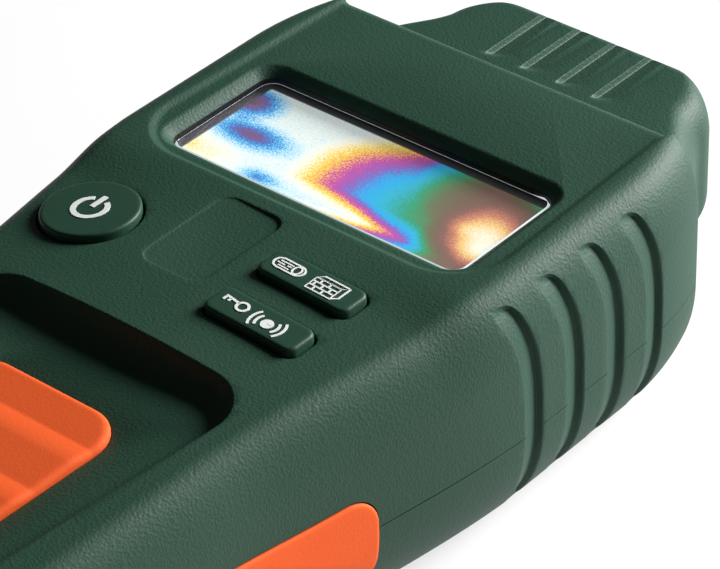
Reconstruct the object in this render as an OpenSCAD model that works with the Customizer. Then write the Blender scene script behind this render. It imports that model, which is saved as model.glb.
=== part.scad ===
/* [Body] */
// Length of the body from the tail to the head's end face
body_l = 169.3; // [160:0.1:190]
// Greatest width, across the head
head_w = 68; // [66:0.1:74]
// Depth from the back to the top of the keypad
body_d = 36.2; // [35:0.1:40]
// Width of the handle where its front recess begins
handle_w = 56.4; // [54:0.1:60]
// Width of the handle at the tail, before its corners are rounded
tail_w = 46.6; // [44:0.1:52]
// Fall of the front face from the keypad to the tail
handle_fall = 2.5; // [0:0.1:4]
// Height of the seam between the two shells
seam_z = 14.3; // [13:0.1:16]
// Wall of the two shells
wall = 2.4; // [2:0.1:3]
// Width of the head's rounded front shoulders
shoulder_w = 5.6; // [4:0.1:7]
// Height of the head's rounded front shoulders
shoulder_h = 10.5; // [8:0.1:12]
// Width of the rounded sides of the back
back_round = 8; // [6:0.1:10]
// Corner radius of the tail, seen from the front
tail_r = 14; // [10:0.1:17]
// Fall of the crowned keypad from its middle to the shoulders
crown_fall = 1.3; // [0.5:0.1:2]

/* [Display] */
// Distance from the head's end face to the middle of the display
display_back = 29.5; // [28:0.1:32]
// Width of the window's opening above the lens
window_w = 47.2; // [44:0.1:48]
// Length of the window's opening above the lens
window_l = 20; // [17:0.1:20.4]
// Width of the sloping wall around the window
window_slope = 1.4; // [1:0.1:1.8]
// Depth of the window's lens below the flat panel
window_deep = 2; // [1.6:0.1:2.4]
// Depth of the upright wall between the lens and the sloping one
window_upright = 0.8; // [0.4:0.1:1.2]
// Depth of the flat panel below the keypad's top
panel_deep = 0.8; // [0.5:0.1:1]
// Width of the flat panel around the display
panel_w = 55; // [54:0.1:57]
// Length of the flat panel below the middle of the display
panel_l = 13; // [12.4:0.1:14]
// Thickness of the lens
lens_t = 0.8; // [0.6:0.1:1.2]

/* [Keys] */
// Diameter of the power key
power_d = 12.8; // [11:0.1:14]
// Length of the two bar keys
bar_w = 14; // [12:0.1:15]
// Breadth of the two bar keys
bar_l = 5; // [4.5:0.1:6]
// Height of the keys above the keypad
key_proud = 0.9; // [0.5:0.1:1.4]
// Travel of the keys
key_travel = 0.8; // [0.5:0.1:1]
// Gap around the keys
key_gap = 0.3; // [0.2:0.05:0.4]

/* [Grips] */
// Distance from the middle of the display to the top of the handle's recess
recess_back = 43.6; // [42:0.1:46]
// Depth of the handle's recess
recess_deep = 3.3; // [2.5:0.1:3.8]
// Width of the recess at its top
recess_w = 43.4; // [40:0.1:45]
// Width of the recess at its tail end
recess_end_w = 27; // [25:0.1:32]
// Distance from the top of the recess to the front pad
pad_back = 11.2; // [9:0.1:14]
// Width of the front pad at its top
pad_w = 24; // [20:0.1:28]
// Width of the front pad at its tail end
pad_end_w = 17.8; // [16:0.1:19]
// Height of the front pad above the recess floor
pad_proud = 1; // [0.5:0.1:1.6]
// Depth of the seats that hold the rubber grips
seat_deep = 1.3; // [1:0.1:1.6]
// Height of the side grips above the shells
grip_proud = 0.4; // [0.2:0.1:0.8]
// Depth of the grip ribs in the head's sides
rib_deep = 0.9; // [0.5:0.1:1.2]
// Distance between the grip ribs
rib_pitch = 8.2; // [7:0.1:8.5]

/* [Cap] */
// Length of the cap
cap_l = 20.5; // [20:0.1:24]
// Width of the cap where it meets the head
cap_w = 47; // [44:0.1:50]
// Depth of the cap from front to back
cap_d = 21; // [19:0.1:23]
// Depth of the cap's front face below the keypad's top
cap_down = 6.3; // [5:0.1:8]
// Wall of the cap
cap_wall = 2.2; // [1.8:0.1:2.5]
// Distance between the cap's finger grooves
groove_pitch = 5.9; // [5:0.1:6.4]
// Breadth of a groove's ramp
groove_w = 3.5; // [2.5:0.1:4.2]

/* [Pins] */
// Distance between the two electrode pins
pin_pitch = 18; // [14:0.1:22]
// Diameter of the pins
pin_d = 2.2; // [1.8:0.1:2.6]
// Length of the pins in front of the nose
pin_l = 9; // [8:0.1:9.6]
// Length of the nose in front of the head's end face
nose_l = 8; // [6:0.1:8.4]
// Width of the nose
nose_w = 36; // [32:0.1:37]
// Depth of the nose from front to back
nose_d = 13.6; // [12:0.1:14.5]

/* [Inside] */
// Width of the 9 volt battery
battery_w = 26.5; // [26:0.1:27]
// Thickness of the battery
battery_t = 17.5; // [17:0.1:18]
// Length of the battery without its studs
battery_l = 46.4; // [45:0.1:47]
// Height of the battery's studs
stud_h = 2.2; // [2:0.1:2.6]
// Thickness of the circuit board
board_t = 1.6; // [1:0.1:2]
// Distance from the keypad's top down to the circuit board
board_back = 12.2; // [11.2:0.1:12.7]
// Thickness of the battery door
door_t = 2; // [1.6:0.1:2.4]
// Gap that seats pieces beside each other
seat_gap = 0.2; // [0.1:0.05:0.3]
// Shank diameter of the case screws
screw_d = 3; // [2.5:0.1:3.2]
// Shank diameter of the board screws
board_screw_d = 2.2; // [1.8:0.1:2.4]

/* [Hidden] */
$fn = 40;

green = [0.13, 0.27, 0.22];
orange = [0.95, 0.38, 0.15];
black = [0.06, 0.06, 0.06];
steel = [0.72, 0.73, 0.75];
brass = [0.78, 0.62, 0.3];

// Places along the length: the whole length is centred on the origin
total_l = body_l + seat_gap + cap_l;
y_tail = -total_l / 2;
y_head = y_tail + body_l;
y_cap = y_head + seat_gap;
y_disp = y_head - display_back;
y_step = y_disp - recess_back;
neck_back = 55;
y_neck = y_disp - neck_back;
full_back = 10;
y_full = y_disp - full_back;
edge_r = 0.9;
eps = 0.05;

// Keypad layout, measured in from the head's sides and back from the middle of the display
power_in = 15.4;
power_back = 28.9;
bar_in = 21;
material_back = 24;
lock_back = 33.5;
blank_in = 31.3;
blank_back = 24.2;
power_at = [power_in - head_w / 2, y_disp - power_back];
material_at = [head_w / 2 - bar_in, y_disp - material_back];
lock_at = [head_w / 2 - bar_in, y_disp - lock_back];
blank_at = [blank_in - head_w / 2, y_disp - blank_back];
blank_size = [10, 16.4];
blank_deep = 0.35;
blank_r = 2.2;
bar_r = 1.3;

// Heights
panel_z = body_d - panel_deep;
lens_z = panel_z - window_deep;
board_z = body_d - board_back;
flange_t = 1;
stem_d = 3.4;

// Straight taper of the handle, and the swell from the neck to the head
function smooth(t) = let (u = max(0, min(1, t))) u * u * (3 - 2 * u);
function taper(y) = handle_w / 2 + (y - y_neck) * (handle_w - tail_w) / 2 / (y_neck - y_tail);
function swell(y) = (head_w / 2 - taper(y_full)) * smooth((y - y_neck) / (y_full - y_neck));
// The head keeps its width past the display, and then narrows a little to its end
narrow_from = 15;
narrow_by = 2.8;
function narrowed(y) = let (run = (y - y_disp - narrow_from) / (display_back - narrow_from))
    narrow_by * pow(max(0, run), 2);
function plan_w(y) = y > y_full ? head_w / 2 - narrowed(y) : taper(y) + swell(y);
// How far a rounded end of radius r draws in at a distance u from its tip
function drawn_in(u, r) = u >= r ? 0 : r - sqrt(max(0, r * r - (r - u) * (r - u)));
function half_w(y, d) = plan_w(y) - d - drawn_in(y - y_tail - d, tail_r - d);
function front_line(y) = body_d - handle_fall * max(0, (y_step - y) / (y_step - y_tail));
tail_top_r = 7;
tail_back_r = 5;
function top_z(y, d) = front_line(y) - d - drawn_in(y - y_tail - d, tail_top_r - d);
function back_z(y, d) = d + drawn_in(y - y_tail - d, tail_back_r - d);
// The crown flattens out towards the display
crown_loss = 0.75;
crown_back = 14;
crown_run = 10;
function crown(y) = crown_fall * (1 - crown_loss * smooth((y - y_full + crown_back) / crown_run));
// Half width of the body's skin at a height z
function skin_x(y, z) = let (h = half_w(y, 0), c = top_z(y, 0) - crown(y) - z)
    z < seam_z ? h - back_round * (1 - sqrt(max(0, 1 - pow((seam_z - z) / (seam_z - back_z(y, 0)), 2))))
    : c < shoulder_h ? h - shoulder_w + shoulder_w * sqrt(max(0, 1 - pow(1 - c / shoulder_h, 2)))
    : h;
// Height of the keypad's crowned face
function face_z(x, y) = top_z(y, 0) - crown(y) * pow(x / (half_w(y, 0) - shoulder_w), 2);
function face_tilt(x, y) = atan(2 * crown(y) * x / pow(half_w(y, 0) - shoulder_w, 2));

// Stations along the length for a skin that lies d inside the outer one, which has more of them
function stations(d) = let (arc = d > 0 ? 30 : 15, n = d > 0 ? 5 : 9) concat(
    [for (a = [0:arc:90]) y_tail + d + (tail_r - d) * (1 - cos(a))],
    [for (i = [1:2]) y_tail + tail_r + (y_neck - y_tail - tail_r) * i / 2],
    [for (i = [1:n]) y_neck + (y_full - y_neck) * i / n],
    [for (t = [0.25, 0.75, 1]) y_full + (y_disp + narrow_from - y_full) * t],
    [for (t = [0.3, 0.55, 0.75]) y_disp + narrow_from + (display_back - narrow_from) * t]);
// Steps in each rounded edge of a section
outer_n = 7;
inner_n = 4;

function mirror_x(pts) = [for (i = [len(pts) - 1:-1:0]) [-pts[i][0], pts[i][1]]];
function at_y(pts, y) = [for (p = pts) [p[0], y, p[1]]];

// Right half of the front section, from the middle of the face down to the seam
function front_half(y, d, top, low, n) = let (h = half_w(y, d), fall = crown(y),
        rx = shoulder_w - d / 2, rz = shoulder_h - d, m = floor(n / 2) + 1, q = 90 / n)
    concat([for (i = [0:m]) [(h - rx) * i / m, top - fall * i * i / (m * m)]],
        [for (i = [1:n]) [h - rx + rx * sin(i * q), top - fall - rz * (1 - cos(i * q))]],
        [[h, low]]);
function front_ring(y, d, top, low, n) = let (r = front_half(y, d, top, low, n))
    at_y(concat(mirror_x([for (i = [1:len(r) - 1]) r[i]]), r), y);
// Right half of the back section, from the seam down to the middle of the back
function rear_half(y, d, high, n) = let (h = half_w(y, d), b = back_z(y, d),
        rx = back_round - d / 2, q = 90 / n)
    concat(high > seam_z ? [[h, high]] : [],
        [for (i = [0:n]) [h - rx + rx * cos(i * q), seam_z - (seam_z - b) * sin(i * q)]]);
function rear_ring(y, d, high, n) = let (r = rear_half(y, d, high, n)) at_y(concat(r, mirror_x(r)), y);

// Solid through a list of rings that all have the same number of points
function end_face(n) = [[for (j = [0:n - 1]) j]];
// End of a ring that runs out along one edge and back along the other, as rungs between the two
function end_rungs(n) = [for (j = [0:n / 2 - 2]) each [[j, j + 1, n - 2 - j], [j, n - 2 - j, n - 1 - j]]];
function flipped(faces) = [for (f = faces) [for (i = [len(f) - 1:-1:0]) f[i]]];
module loft(rings, rungs = false) {
    n = len(rings[0]);
    m = len(rings);
    ends = rungs ? end_rungs(n) : end_face(n);
    polyhedron([for (r = rings) each r],
        concat(ends, [for (f = flipped(ends)) [for (i = f) (m - 1) * n + i]],
            [for (i = [0:m - 2], j = [0:n - 1]) let (a = i * n + j, b = i * n + (j + 1) % n)
                each [[a, a + n, b], [b, a + n, b + n]]]));
}

// Small rounded edge of the outer skin at the head, as places and insets
head_ends = [for (a = [0:45:90]) [y_head - edge_r * (1 - sin(a)), edge_r * (1 - cos(a))]];
// The hollow steps down under the handle's recess, a little before it
ceiling_z = body_d - recess_deep - seat_deep - wall;
step_ahead = 3;
function ceiling(y, d) = y > y_step + step_ahead ? top_z(y, d)
    : min(top_z(y, d), ceiling_z - body_d + front_line(y));
module front_skin(low) {
    loft(concat([for (y = stations(0)) front_ring(y, 0, top_z(y, 0), low, outer_n)],
        [for (e = head_ends) front_ring(e[0], e[1], top_z(e[0], e[1]), low, outer_n)]));
}
module front_hollow(d, low) {
    near = [for (y = stations(d)) if (y < y_step - 1) y];
    far = [for (y = stations(d)) if (y > y_step + step_ahead + 1) y];
    step = [y_step + step_ahead - eps, y_step + step_ahead + eps];
    loft([for (y = concat(near, step, far, [y_head - d]))
        front_ring(y, d, ceiling(y, d), low, inner_n)]);
}
module rear_skin(high) {
    loft(concat([for (y = stations(0)) rear_ring(y, 0, high, outer_n)],
        [for (e = head_ends) rear_ring(e[0], e[1], high, outer_n)]));
}
module rear_hollow(d, high) {
    loft([for (y = concat(stations(d), [y_head - d])) rear_ring(y, d, high, inner_n)]);
}

// Outlines seen from the front
function unit(v) = v / norm(v);
function corner(a, p, b, r) = let (u = unit(a - p), v = unit(b - p), h = acos(u * v) / 2,
        c = p + unit(u + v) * r / sin(h), s = p + u * r / tan(h) - c, q = 180 - 2 * h,
        w = cross(p - a, b - p) > 0 ? 1 : -1)
    [for (i = [0:6]) let (t = w * q * i / 6)
        c + [s[0] * cos(t) - s[1] * sin(t), s[0] * sin(t) + s[1] * cos(t)]];
function rounded(pts, r) = let (n = len(pts))
    [for (i = [0:n - 1]) each corner(pts[(i + n - 1) % n], pts[i], pts[(i + 1) % n], r)];
function box(w, l) = [[-w / 2, -l / 2], [w / 2, -l / 2], [w / 2, l / 2], [-w / 2, l / 2]];
function moved(pts, at) = [for (p = pts) p + at];
function at_z(pts, z) = [for (p = pts) [p[0], p[1], z]];
// Rings taken the other way round
function turned(rings) = [for (r = rings) [for (i = [len(r) - 1:-1:0]) r[i]]];

// Flat panel around the display, with soft walls that run out at the head
panel_r = 8;
head_narrow = 1.4;
module panel_cut() {
    function edge(g) = let (w = panel_w / 2 + g, y0 = y_disp - panel_l - g)
        concat(corner([-w + head_narrow, y_head + 1], [-w, y0], [w, y0], panel_r + g),
            corner([-w, y0], [w, y0], [w - head_narrow, y_head + 1], panel_r + g),
            [[w - head_narrow, y_head + 1], [-w + head_narrow, y_head + 1]]);
    loft([at_z(edge(0), panel_z), at_z(edge(0.35), panel_z + 0.15), at_z(edge(0.8), panel_z + 0.5),
        at_z(edge(1.1), body_d + 1)]);
}
// Walls of the display window, upright above the lens and sloping to the panel
window_r = 2.2;
module window_cut() {
    function edge(g) = moved(rounded(box(window_w + 2 * g, window_l + 2 * g), window_r + g / 2), [0, y_disp]);
    run = window_slope / (window_deep - window_upright);
    loft([at_z(edge(0), lens_z - 1), at_z(edge(0), lens_z + window_upright),
        at_z(edge(window_slope), panel_z), at_z(edge(window_slope + run), panel_z + 1)]);
}
// Frame of the window under the shell, where the lens is bonded
land_w = 3.4;
land_l = 2.9;
module window_land() {
    translate([0, y_disp, lens_z]) linear_extrude(body_d - lens_z)
        polygon(box(window_w + 2 * land_w, window_l + 2 * land_l));
}

// Hollowed front of the handle: the walls curve into a sloping floor
recess_tail = 13;
recess_r = 6;
recess_end = y_tail + recess_tail;
function recess_edge(g) = let (w = recess_w / 2 + g, v = recess_end_w / 2 + g)
    rounded([[-v, recess_end - g], [v, recess_end - g], [w, y_step + g], [-w, y_step + g]], recess_r + g);
function floor_z(y) = body_d - handle_fall * (y_step - y) / (y_step - y_tail) - recess_deep;
module recess_cut() {
    sweep_r = recess_deep - 0.3;
    function level(g, up) = [for (p = recess_edge(g)) [p[0], p[1], floor_z(p[1]) + up]];
    loft(concat([for (a = [90:-18:0]) level(-sweep_r * (1 - cos(a)), sweep_r * (1 - sin(a)))],
        [level(0.5, recess_deep + 0.2), level(0.8, recess_deep + 3)]));
}

// Front pad: a tapered outline with broad ribs across it
pad_top = y_step - pad_back;
pad_tail = 9;
pad_r = 5;
pad_rib_l = 9;
pad_rib_h = 0.5;
pad_end = recess_end + pad_tail;
pad_ribs = floor((pad_top - pad_end) / pad_rib_l);
function pad_edge(g) = let (w = pad_w / 2 + g, v = pad_end_w / 2 + g)
    rounded([[-v, pad_end - g], [v, pad_end - g], [w, pad_top + g], [-w, pad_top + g]], pad_r + g);
function pad_crest(y) = let (turn = 180 * pad_ribs * (pad_top - y) / (pad_top - pad_end))
    pad_proud - pad_rib_h * pow(cos(turn), 8);

// Strip of the side skin between two heights, from in mm inside to out mm outside.
// Its outer edge leans along the body by a share of its depth.
function strip(y, z0, z1, in, out, s, n, lean = 0) = let (
        levels = [for (i = [0:n]) (z0 + z1) / 2 - (z1 - z0) / 2 * cos(180 * i / n)])
    concat([for (z = levels) [s * (skin_x(y, z) + out), y + lean * (in + out), z]],
        [for (i = [n:-1:0]) [s * (skin_x(y, levels[i]) - in), y, levels[i]]]);
module side_loft(rings, s) {
    loft(s < 0 ? rings : turned(rings), true);
}
// Draft of the end walls of the ribs and side grips, as a slope
draft = 0.08;

// Side grips: the front edge rises towards the tail
grip_back = 34;
grip_tail = 24;
grip_top = y_disp - grip_back;
grip_end = y_tail + grip_tail;
grip_low = 5.5;
grip_high = 20;
grip_rise = 3;
grip_r = 4.5;
grip_rise_from = 5;
grip_rise_l = 40;
function grip_high_at(y) = grip_high + grip_rise * smooth((grip_top - grip_rise_from - y) / grip_rise_l);
module side_strip(g, in, out, s) {
    r = grip_r + g;
    n = 6;
    round_end = [for (a = [0:22.5:90]) [r * (1 - cos(a)), r * (1 - sin(a))]];
    mid = [for (i = [1:5]) grip_end - g + r + (grip_top - grip_end + 2 * g - 2 * r) * i / 6];
    function lean(e) = e[0] == 0 ? draft : 0;
    side_loft(concat(
        [for (e = round_end) strip(grip_end - g + e[0], grip_low - g + e[1],
            grip_high_at(grip_end) + g - e[1], in, out, s, n, -lean(e))],
        [for (y = mid) strip(y, grip_low - g, grip_high_at(y) + g, in, out, s, n)],
        [for (i = [len(round_end) - 1:-1:0]) let (e = round_end[i]) strip(grip_top + g - e[0],
            grip_low - g + e[1], grip_high_at(grip_top) + g - e[1], in, out, s, n, lean(e))]), s);
}

// Ramped rib in the head's side: it starts above the skin, is deepest at its head end and has a rounded top
rib_back = 7.6;
rib_first = y_disp - rib_back;
rib_count = 4;
rib_w = 6.1;
rib_low = 1.5;
rib_down = 2;
rib_top = body_d - rib_down;
rib_start = 0.3;
rib_out = 3;
module rib_cut(y, s) {
    top_round = [[0, 4], [0.25, 2.8], [0.5, 0.8], [0.8, 0], [1, 1.2]];
    side_loft([for (k = top_round) strip(y - rib_w * (1 - k[0]), rib_low, rib_top - k[1],
        (rib_deep + rib_start) * k[0] - rib_start, rib_out, s, 8, k[0] == 1 ? draft : 0)], s);
}
module ribs_cut() {
    for (i = [0:rib_count - 1], s = [-1, 1]) rib_cut(rib_first + i * rib_pitch, s);
}

// Nose opening in the shells' end wall
nose_z = body_d - cap_down - cap_d / 2;
nose_r = 3;
module nose_prism(g, y0, y1) {
    translate([0, y0, nose_z]) rotate([-90, 0, 0]) linear_extrude(y1 - y0)
        polygon(rounded(box(nose_w + 2 * g, nose_d + 2 * g), nose_r + g));
}

// Case screws: bosses in the front shell, counterbored tubes in the rear one
screw_in = 8;
screw_ahead = 20.5;
screw_back = 50.5;
screw_head_y = y_disp + screw_ahead;
screw_tail_y = y_disp - screw_back;
screw_at = [for (s = [-1, 1]) each [[s * (head_w / 2 - screw_in), screw_head_y],
    [s * (handle_w / 2 - screw_in), screw_tail_y]]];
boss_r = 3.1;
screw_head_d = 5.6;
screw_head_h = 2.2;
screw_sink = 4.5;
screw_bite = 9;
screw_l = seam_z - screw_sink + screw_bite;
screw_free = 0.4;
// Board, narrower where the head runs into the handle, and the posts of the front shell that it hangs from
board_side = 5;
board_end_side = 3.7;
board_w = head_w - 2 * board_side;
board_end_w = handle_w - 2 * board_end_side;
board_end = y_disp + 14;
board_neck = y_disp - 18;
board_tail = y_disp - 43;
board_r = 1.5;
post_in = 3;
board_at = [for (s = [-1, 1]) each [[s * (board_w / 2 - post_in), board_neck + post_in / 2],
    [s * (board_end_w / 2 - post_in + 0.5), board_tail + post_in]]];
post_r = 2.3;
board_bite = 5;
board_screw_head_d = 4.2;
board_screw_head_h = 1.4;

module front_shell() {
    color(green) difference() {
        difference() {
            front_skin(seam_z);
            ribs_cut();
        }
        difference() {
            front_hollow(wall, seam_z - 1);
            window_land();
            for (p = screw_at) translate([p[0], p[1], seam_z]) cylinder(r = boss_r, h = body_d);
            for (p = board_at) translate([p[0], p[1], board_z]) cylinder(r = post_r, h = body_d);
        }
        panel_cut();
        window_cut();
        recess_cut();
        loft([for (g = [-seat_deep, body_d])
            [for (p = pad_edge(seat_gap)) [p[0], p[1], floor_z(p[1]) + g]]]);
        for (s = [-1, 1]) side_strip(seat_gap, seat_deep, 4, s);
        translate([power_at[0], power_at[1], board_z]) cylinder(d = power_d + 2 * key_gap, h = body_d);
        for (p = [material_at, lock_at]) translate([p[0], p[1], board_z]) linear_extrude(body_d)
            polygon(rounded(box(bar_w + 2 * key_gap, bar_l + 2 * key_gap), bar_r + key_gap));
        translate([blank_at[0], blank_at[1], face_z(blank_at[0], blank_at[1]) - blank_deep])
            rotate([0, face_tilt(blank_at[0], blank_at[1]), 0]) linear_extrude(2)
            polygon(rounded(box(blank_size[0], blank_size[1]), blank_r));
        nose_prism(seat_gap, y_head - 2 * wall, y_head + 1);
        for (p = screw_at) translate([p[0], p[1], seam_z - 1]) cylinder(d = screw_d, h = screw_bite + 2);
        for (p = board_at) translate([p[0], p[1], board_z - 1])
            cylinder(d = board_screw_d, h = board_bite + 2);
    }
}

// Battery bay in the rear shell, and the door that slides off towards the tail
bay_tail = 17;
bay_end = y_tail + bay_tail;
bay_gap = 0.6;
clip_room = 8;
bay_l = battery_l + stud_h + clip_room;
bay_wall = 1.2;
door_side = 3;
door_w = battery_w + 2 * door_side;
door_lip = 1.2;
door_in = 0.25;
rail_w = 1.6;
rail_t = 1.4;
door_top = bay_end + bay_l + door_side;
foam_w = 20;
foam_t = 0.6;
battery_z = door_in + door_t + foam_t + eps;
battery_y = bay_end + bay_gap;
module door_prism(g) {
    neck = door_w / 2 - door_lip + g;
    lip = door_w / 2 + g;
    half = door_t / 2;
    low = -2 * door_in - (g > 0 ? 1 : 0);
    translate([0, y_tail - 1, door_in]) rotate([-90, 0, 0]) linear_extrude(door_top + g - y_tail + 1)
        mirror([0, 1]) polygon([[-neck, low], [neck, low], [neck, half - g], [lip, half - g],
            [lip, door_t + g], [-lip, door_t + g], [-lip, half - g], [-neck, half - g]]);
}
module bay_box(g, z0, z1) {
    w = battery_w + 2 * bay_gap + 2 * g;
    translate([-w / 2, bay_end - g, z0]) cube([w, bay_l + 2 * g, z1 - z0]);
}

module rear_shell() {
    color(green) difference() {
        difference() {
            rear_skin(seam_z);
            ribs_cut();
        }
        difference() {
            rear_hollow(wall, seam_z + 1);
            bay_box(bay_wall, -1, seam_z - seat_gap);
            translate([-door_w / 2 - rail_w, y_tail, -1])
                cube([door_w + 2 * rail_w, door_top + rail_w - y_tail, door_in + door_t + rail_t + 1]);
            for (p = screw_at) translate([p[0], p[1], -1]) cylinder(r = boss_r, h = seam_z + 1 - seat_gap);
        }
        bay_box(0, -1, body_d);
        door_prism(seat_gap);
        translate([-foam_w / 2 - seat_gap, y_tail - 1, door_in])
            cube([foam_w + 2 * seat_gap, bay_end - y_tail + 2, door_t + foam_t + seat_gap]);
        for (s = [-1, 1]) side_strip(seat_gap, seat_deep, 4, s);
        nose_prism(seat_gap, y_head - 2 * wall, y_head + 1);
        for (p = screw_at) translate([p[0], p[1], -1]) {
            cylinder(d = screw_d + screw_free, h = body_d);
            cylinder(d = screw_head_d + screw_free, h = 1 + screw_sink);
        }
    }
}

// Cap: a tapered hood with rounded corners and ramped finger grooves on both faces
cap_taper = 2.6;
cap_corner_r = 7;
cap_side_w = 4.5;
cap_side_h = 6;
cap_end = y_cap + cap_l;
cap_edge_r = 2.2;
function cap_half(y) = cap_w / 2 - cap_taper * (y - y_cap) / cap_l - drawn_in(cap_end - y, cap_corner_r);
function cap_quarter(y) = let (w = cap_half(y), h = cap_d / 2 - drawn_in(cap_end - y, cap_edge_r))
    [for (i = [0:6]) [w - cap_side_w + cap_side_w * sin(i * 15), h - cap_side_h * (1 - cos(i * 15))]];
function cap_ring(y) = let (q = cap_quarter(y),
        half = concat(q, [for (i = [len(q) - 1:-1:0]) [q[i][0], -q[i][1]]]))
    [for (p = concat(half, mirror_x(half))) [p[0], y, nose_z + p[1]]];
cap_inner_r = 3.4;
cap_end_t = 2.6;
cap_draft = 0.3;
module cap_hollow() {
    inner_d = cap_d - 2 * cap_wall - 2 * cap_draft;
    function inner(y, w) = [for (p = rounded(box(2 * w, inner_d), cap_inner_r)) [p[0], y, nose_z + p[1]]];
    y_end = cap_end - cap_end_t;
    y_near = y_end - 4;
    loft(turned([inner(y_cap - 1, cap_w / 2 - cap_wall - 1), inner(y_near, cap_half(y_near) - cap_wall),
        inner(y_end, cap_half(y_end) - cap_wall - cap_draft)]));
}
groove_back = 6.4;
groove_deep = 0.8;
groove_shift = 0.2;
module cap_groove(x, s) {
    y0 = y_head + groove_back;
    function ring(y, w, h) = [for (p = [[-0.25, 1], [groove_w, 1], [w, 0.02], [0, -h], [-0.1, 0.3]])
        [x + p[0], y, nose_z + s * (cap_d / 2 + p[1])]];
    rings = [ring(y0, 1, 0.05), ring(y0 + 0.8, groove_w, 0.7 * groove_deep),
        ring(y0 + 2, groove_w, groove_deep), ring(cap_end + 1, groove_w, groove_deep)];
    loft(s > 0 ? rings : turned(rings));
}
module cap() {
    color(green) difference() {
        loft([for (y = concat([y_cap, y_cap + 5, y_cap + 10],
            [for (a = [0:15:90]) cap_end - cap_corner_r * (1 - sin(a))])) cap_ring(y)]);
        cap_hollow();
        for (i = [-1.5:1:1.5], s = [-1, 1]) cap_groove(i * groove_pitch - groove_shift, s);
    }
}

// Pin carrier: its flange sits behind the end walls of the shells
nose_in = 9;
flange_l = 2;
flange_w = 1.6;
socket_d = 5.2;
socket_hex_d = 6.4;
socket_hex_l = 1.2;
socket_l = nose_l + nose_in - 2;
module each_pin() {
    for (s = [-1, 1]) translate([s * pin_pitch / 2, 0, nose_z]) rotate([-90, 0, 0]) children();
}
module nose_block() {
    y0 = y_head - wall - seat_gap - flange_l;
    color(black) difference() {
        union() {
            nose_prism(0, y_head - nose_in, y_head + nose_l);
            nose_prism(flange_w, y0, y0 + flange_l);
        }
        translate([0, y_head - nose_in - 1, 0]) each_pin() cylinder(d = socket_d, h = nose_l + nose_in + 2);
    }
}
module pin_sockets() {
    color(brass) difference() {
        union() {
            translate([0, y_head + nose_l - socket_l, 0]) each_pin() cylinder(d = socket_d, h = socket_l);
            translate([0, y_head + nose_l + eps, 0]) each_pin()
                cylinder(d = socket_hex_d, h = socket_hex_l, $fn = 6);
            translate([0, y_head + nose_l - 1, 0]) each_pin() cylinder(d = socket_d - 0.4, h = 2);
        }
        translate([0, y_head + nose_l - 7, 0]) each_pin() cylinder(d = pin_d, h = 12);
    }
}
module electrode_pins() {
    tip = 3.5;
    tip_r = 0.12;
    seat = 6;
    color(steel) translate([0, y_head + nose_l - seat, 0]) each_pin() rotate_extrude()
        polygon([[0, 0], [pin_d / 2, 0], [pin_d / 2, seat + pin_l - tip], [tip_r, seat + pin_l],
            [0, seat + pin_l]]);
}

// Tube of 8 sides along a route of points
function tube_rings(route, r) = let (n = len(route)) [for (i = [0:n - 1])
    let (t = unit(route[min(n - 1, i + 1)] - route[max(0, i - 1)]), u = unit(cross(t, [1, 0.2, 0.1])),
        v = cross(t, u))
    [for (k = [0:7]) route[i] + r * (cos(k * 45) * u + sin(k * 45) * v)]];
module lead(route, r) {
    loft(tube_rings(route, r));
}
lead_r = 0.7;
lead_out = 0.8;
board_low = board_z - board_t;
// Route of a wire that leaves a along the length and meets b from below
function bend(a, b) = let (s = sign(b[1] - a[1]), p = a + [0, s * lead_out, 0], q = b - [0, 0, lead_out])
    concat([a], [for (t = [0:0.125:1]) [p[0] + (q[0] - p[0]) * t, p[1] + (q[1] - p[1]) * sin(t * 90),
        p[2] + (q[2] - p[2]) * (1 - cos(t * 90))]], [b]);
module pin_leads() {
    y0 = y_head + nose_l - socket_l - eps;
    x0 = pin_pitch / 2;
    color("white") for (s = [-1, 1])
        lead(bend([s * x0, y0, nose_z], [s * (x0 + 1), board_end - 3, board_low - eps]), lead_r);
}

// Display: lens under the window, glass in its frame, contact strips down to the board
lens_in = 1.6;
lens_r = 2.4;
module window_lens() {
    color([0.75, 0.82, 0.85, 0.5]) translate([0, y_disp, lens_z - lens_t]) linear_extrude(lens_t)
        polygon(rounded(box(window_w + 2 * lens_in, window_l + 2 * lens_in), lens_r));
}
frame_top = lens_z - lens_t;
frame_in = 0.6;
frame_rim = 1.8;
frame_r = 1;
glass_t = 2.8;
glass_z = frame_top - eps - glass_t;
glass_w = window_w - 2 * frame_in;
glass_l = window_l - 2 * frame_in;
module display_frame() {
    color([0.45, 0.45, 0.47]) difference() {
        translate([0, y_disp, board_z]) linear_extrude(frame_top - board_z)
            polygon(rounded(box(glass_w + 2 * frame_rim, glass_l + 2 * frame_rim), frame_r));
        translate([0, y_disp, board_z - 1]) linear_extrude(body_d)
            polygon(box(glass_w + 2 * eps, glass_l + 2 * eps));
    }
}
module display_glass() {
    color([0.7, 0.8, 0.85]) translate([0, y_disp, glass_z]) linear_extrude(glass_t)
        polygon(box(glass_w, glass_l));
}
module display_strips() {
    w = 2.2;
    short = 1;
    color([0.8, 0.45, 0.5]) for (s = [-1, 1])
        translate([-glass_w / 2 + short, y_disp + s * (glass_l / 2 - w / 2 - seat_gap) - w / 2, board_z])
            cube([glass_w - 2 * short, w, glass_z - board_z]);
}

// Circuit board, hung from four posts in the front shell
board_hole = 0.3;
module circuit_board() {
    w = board_w / 2;
    v = board_end_w / 2;
    color([0.1, 0.4, 0.2]) difference() {
        translate([0, 0, board_low]) linear_extrude(board_t)
            polygon(rounded([[-v, board_tail], [v, board_tail], [w, board_neck], [w, board_end],
                [-w, board_end], [-w, board_neck]], board_r));
        for (p = board_at) translate([p[0], p[1], board_low - 1])
            cylinder(d = board_screw_d + board_hole, h = board_t + 2);
    }
}
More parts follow.
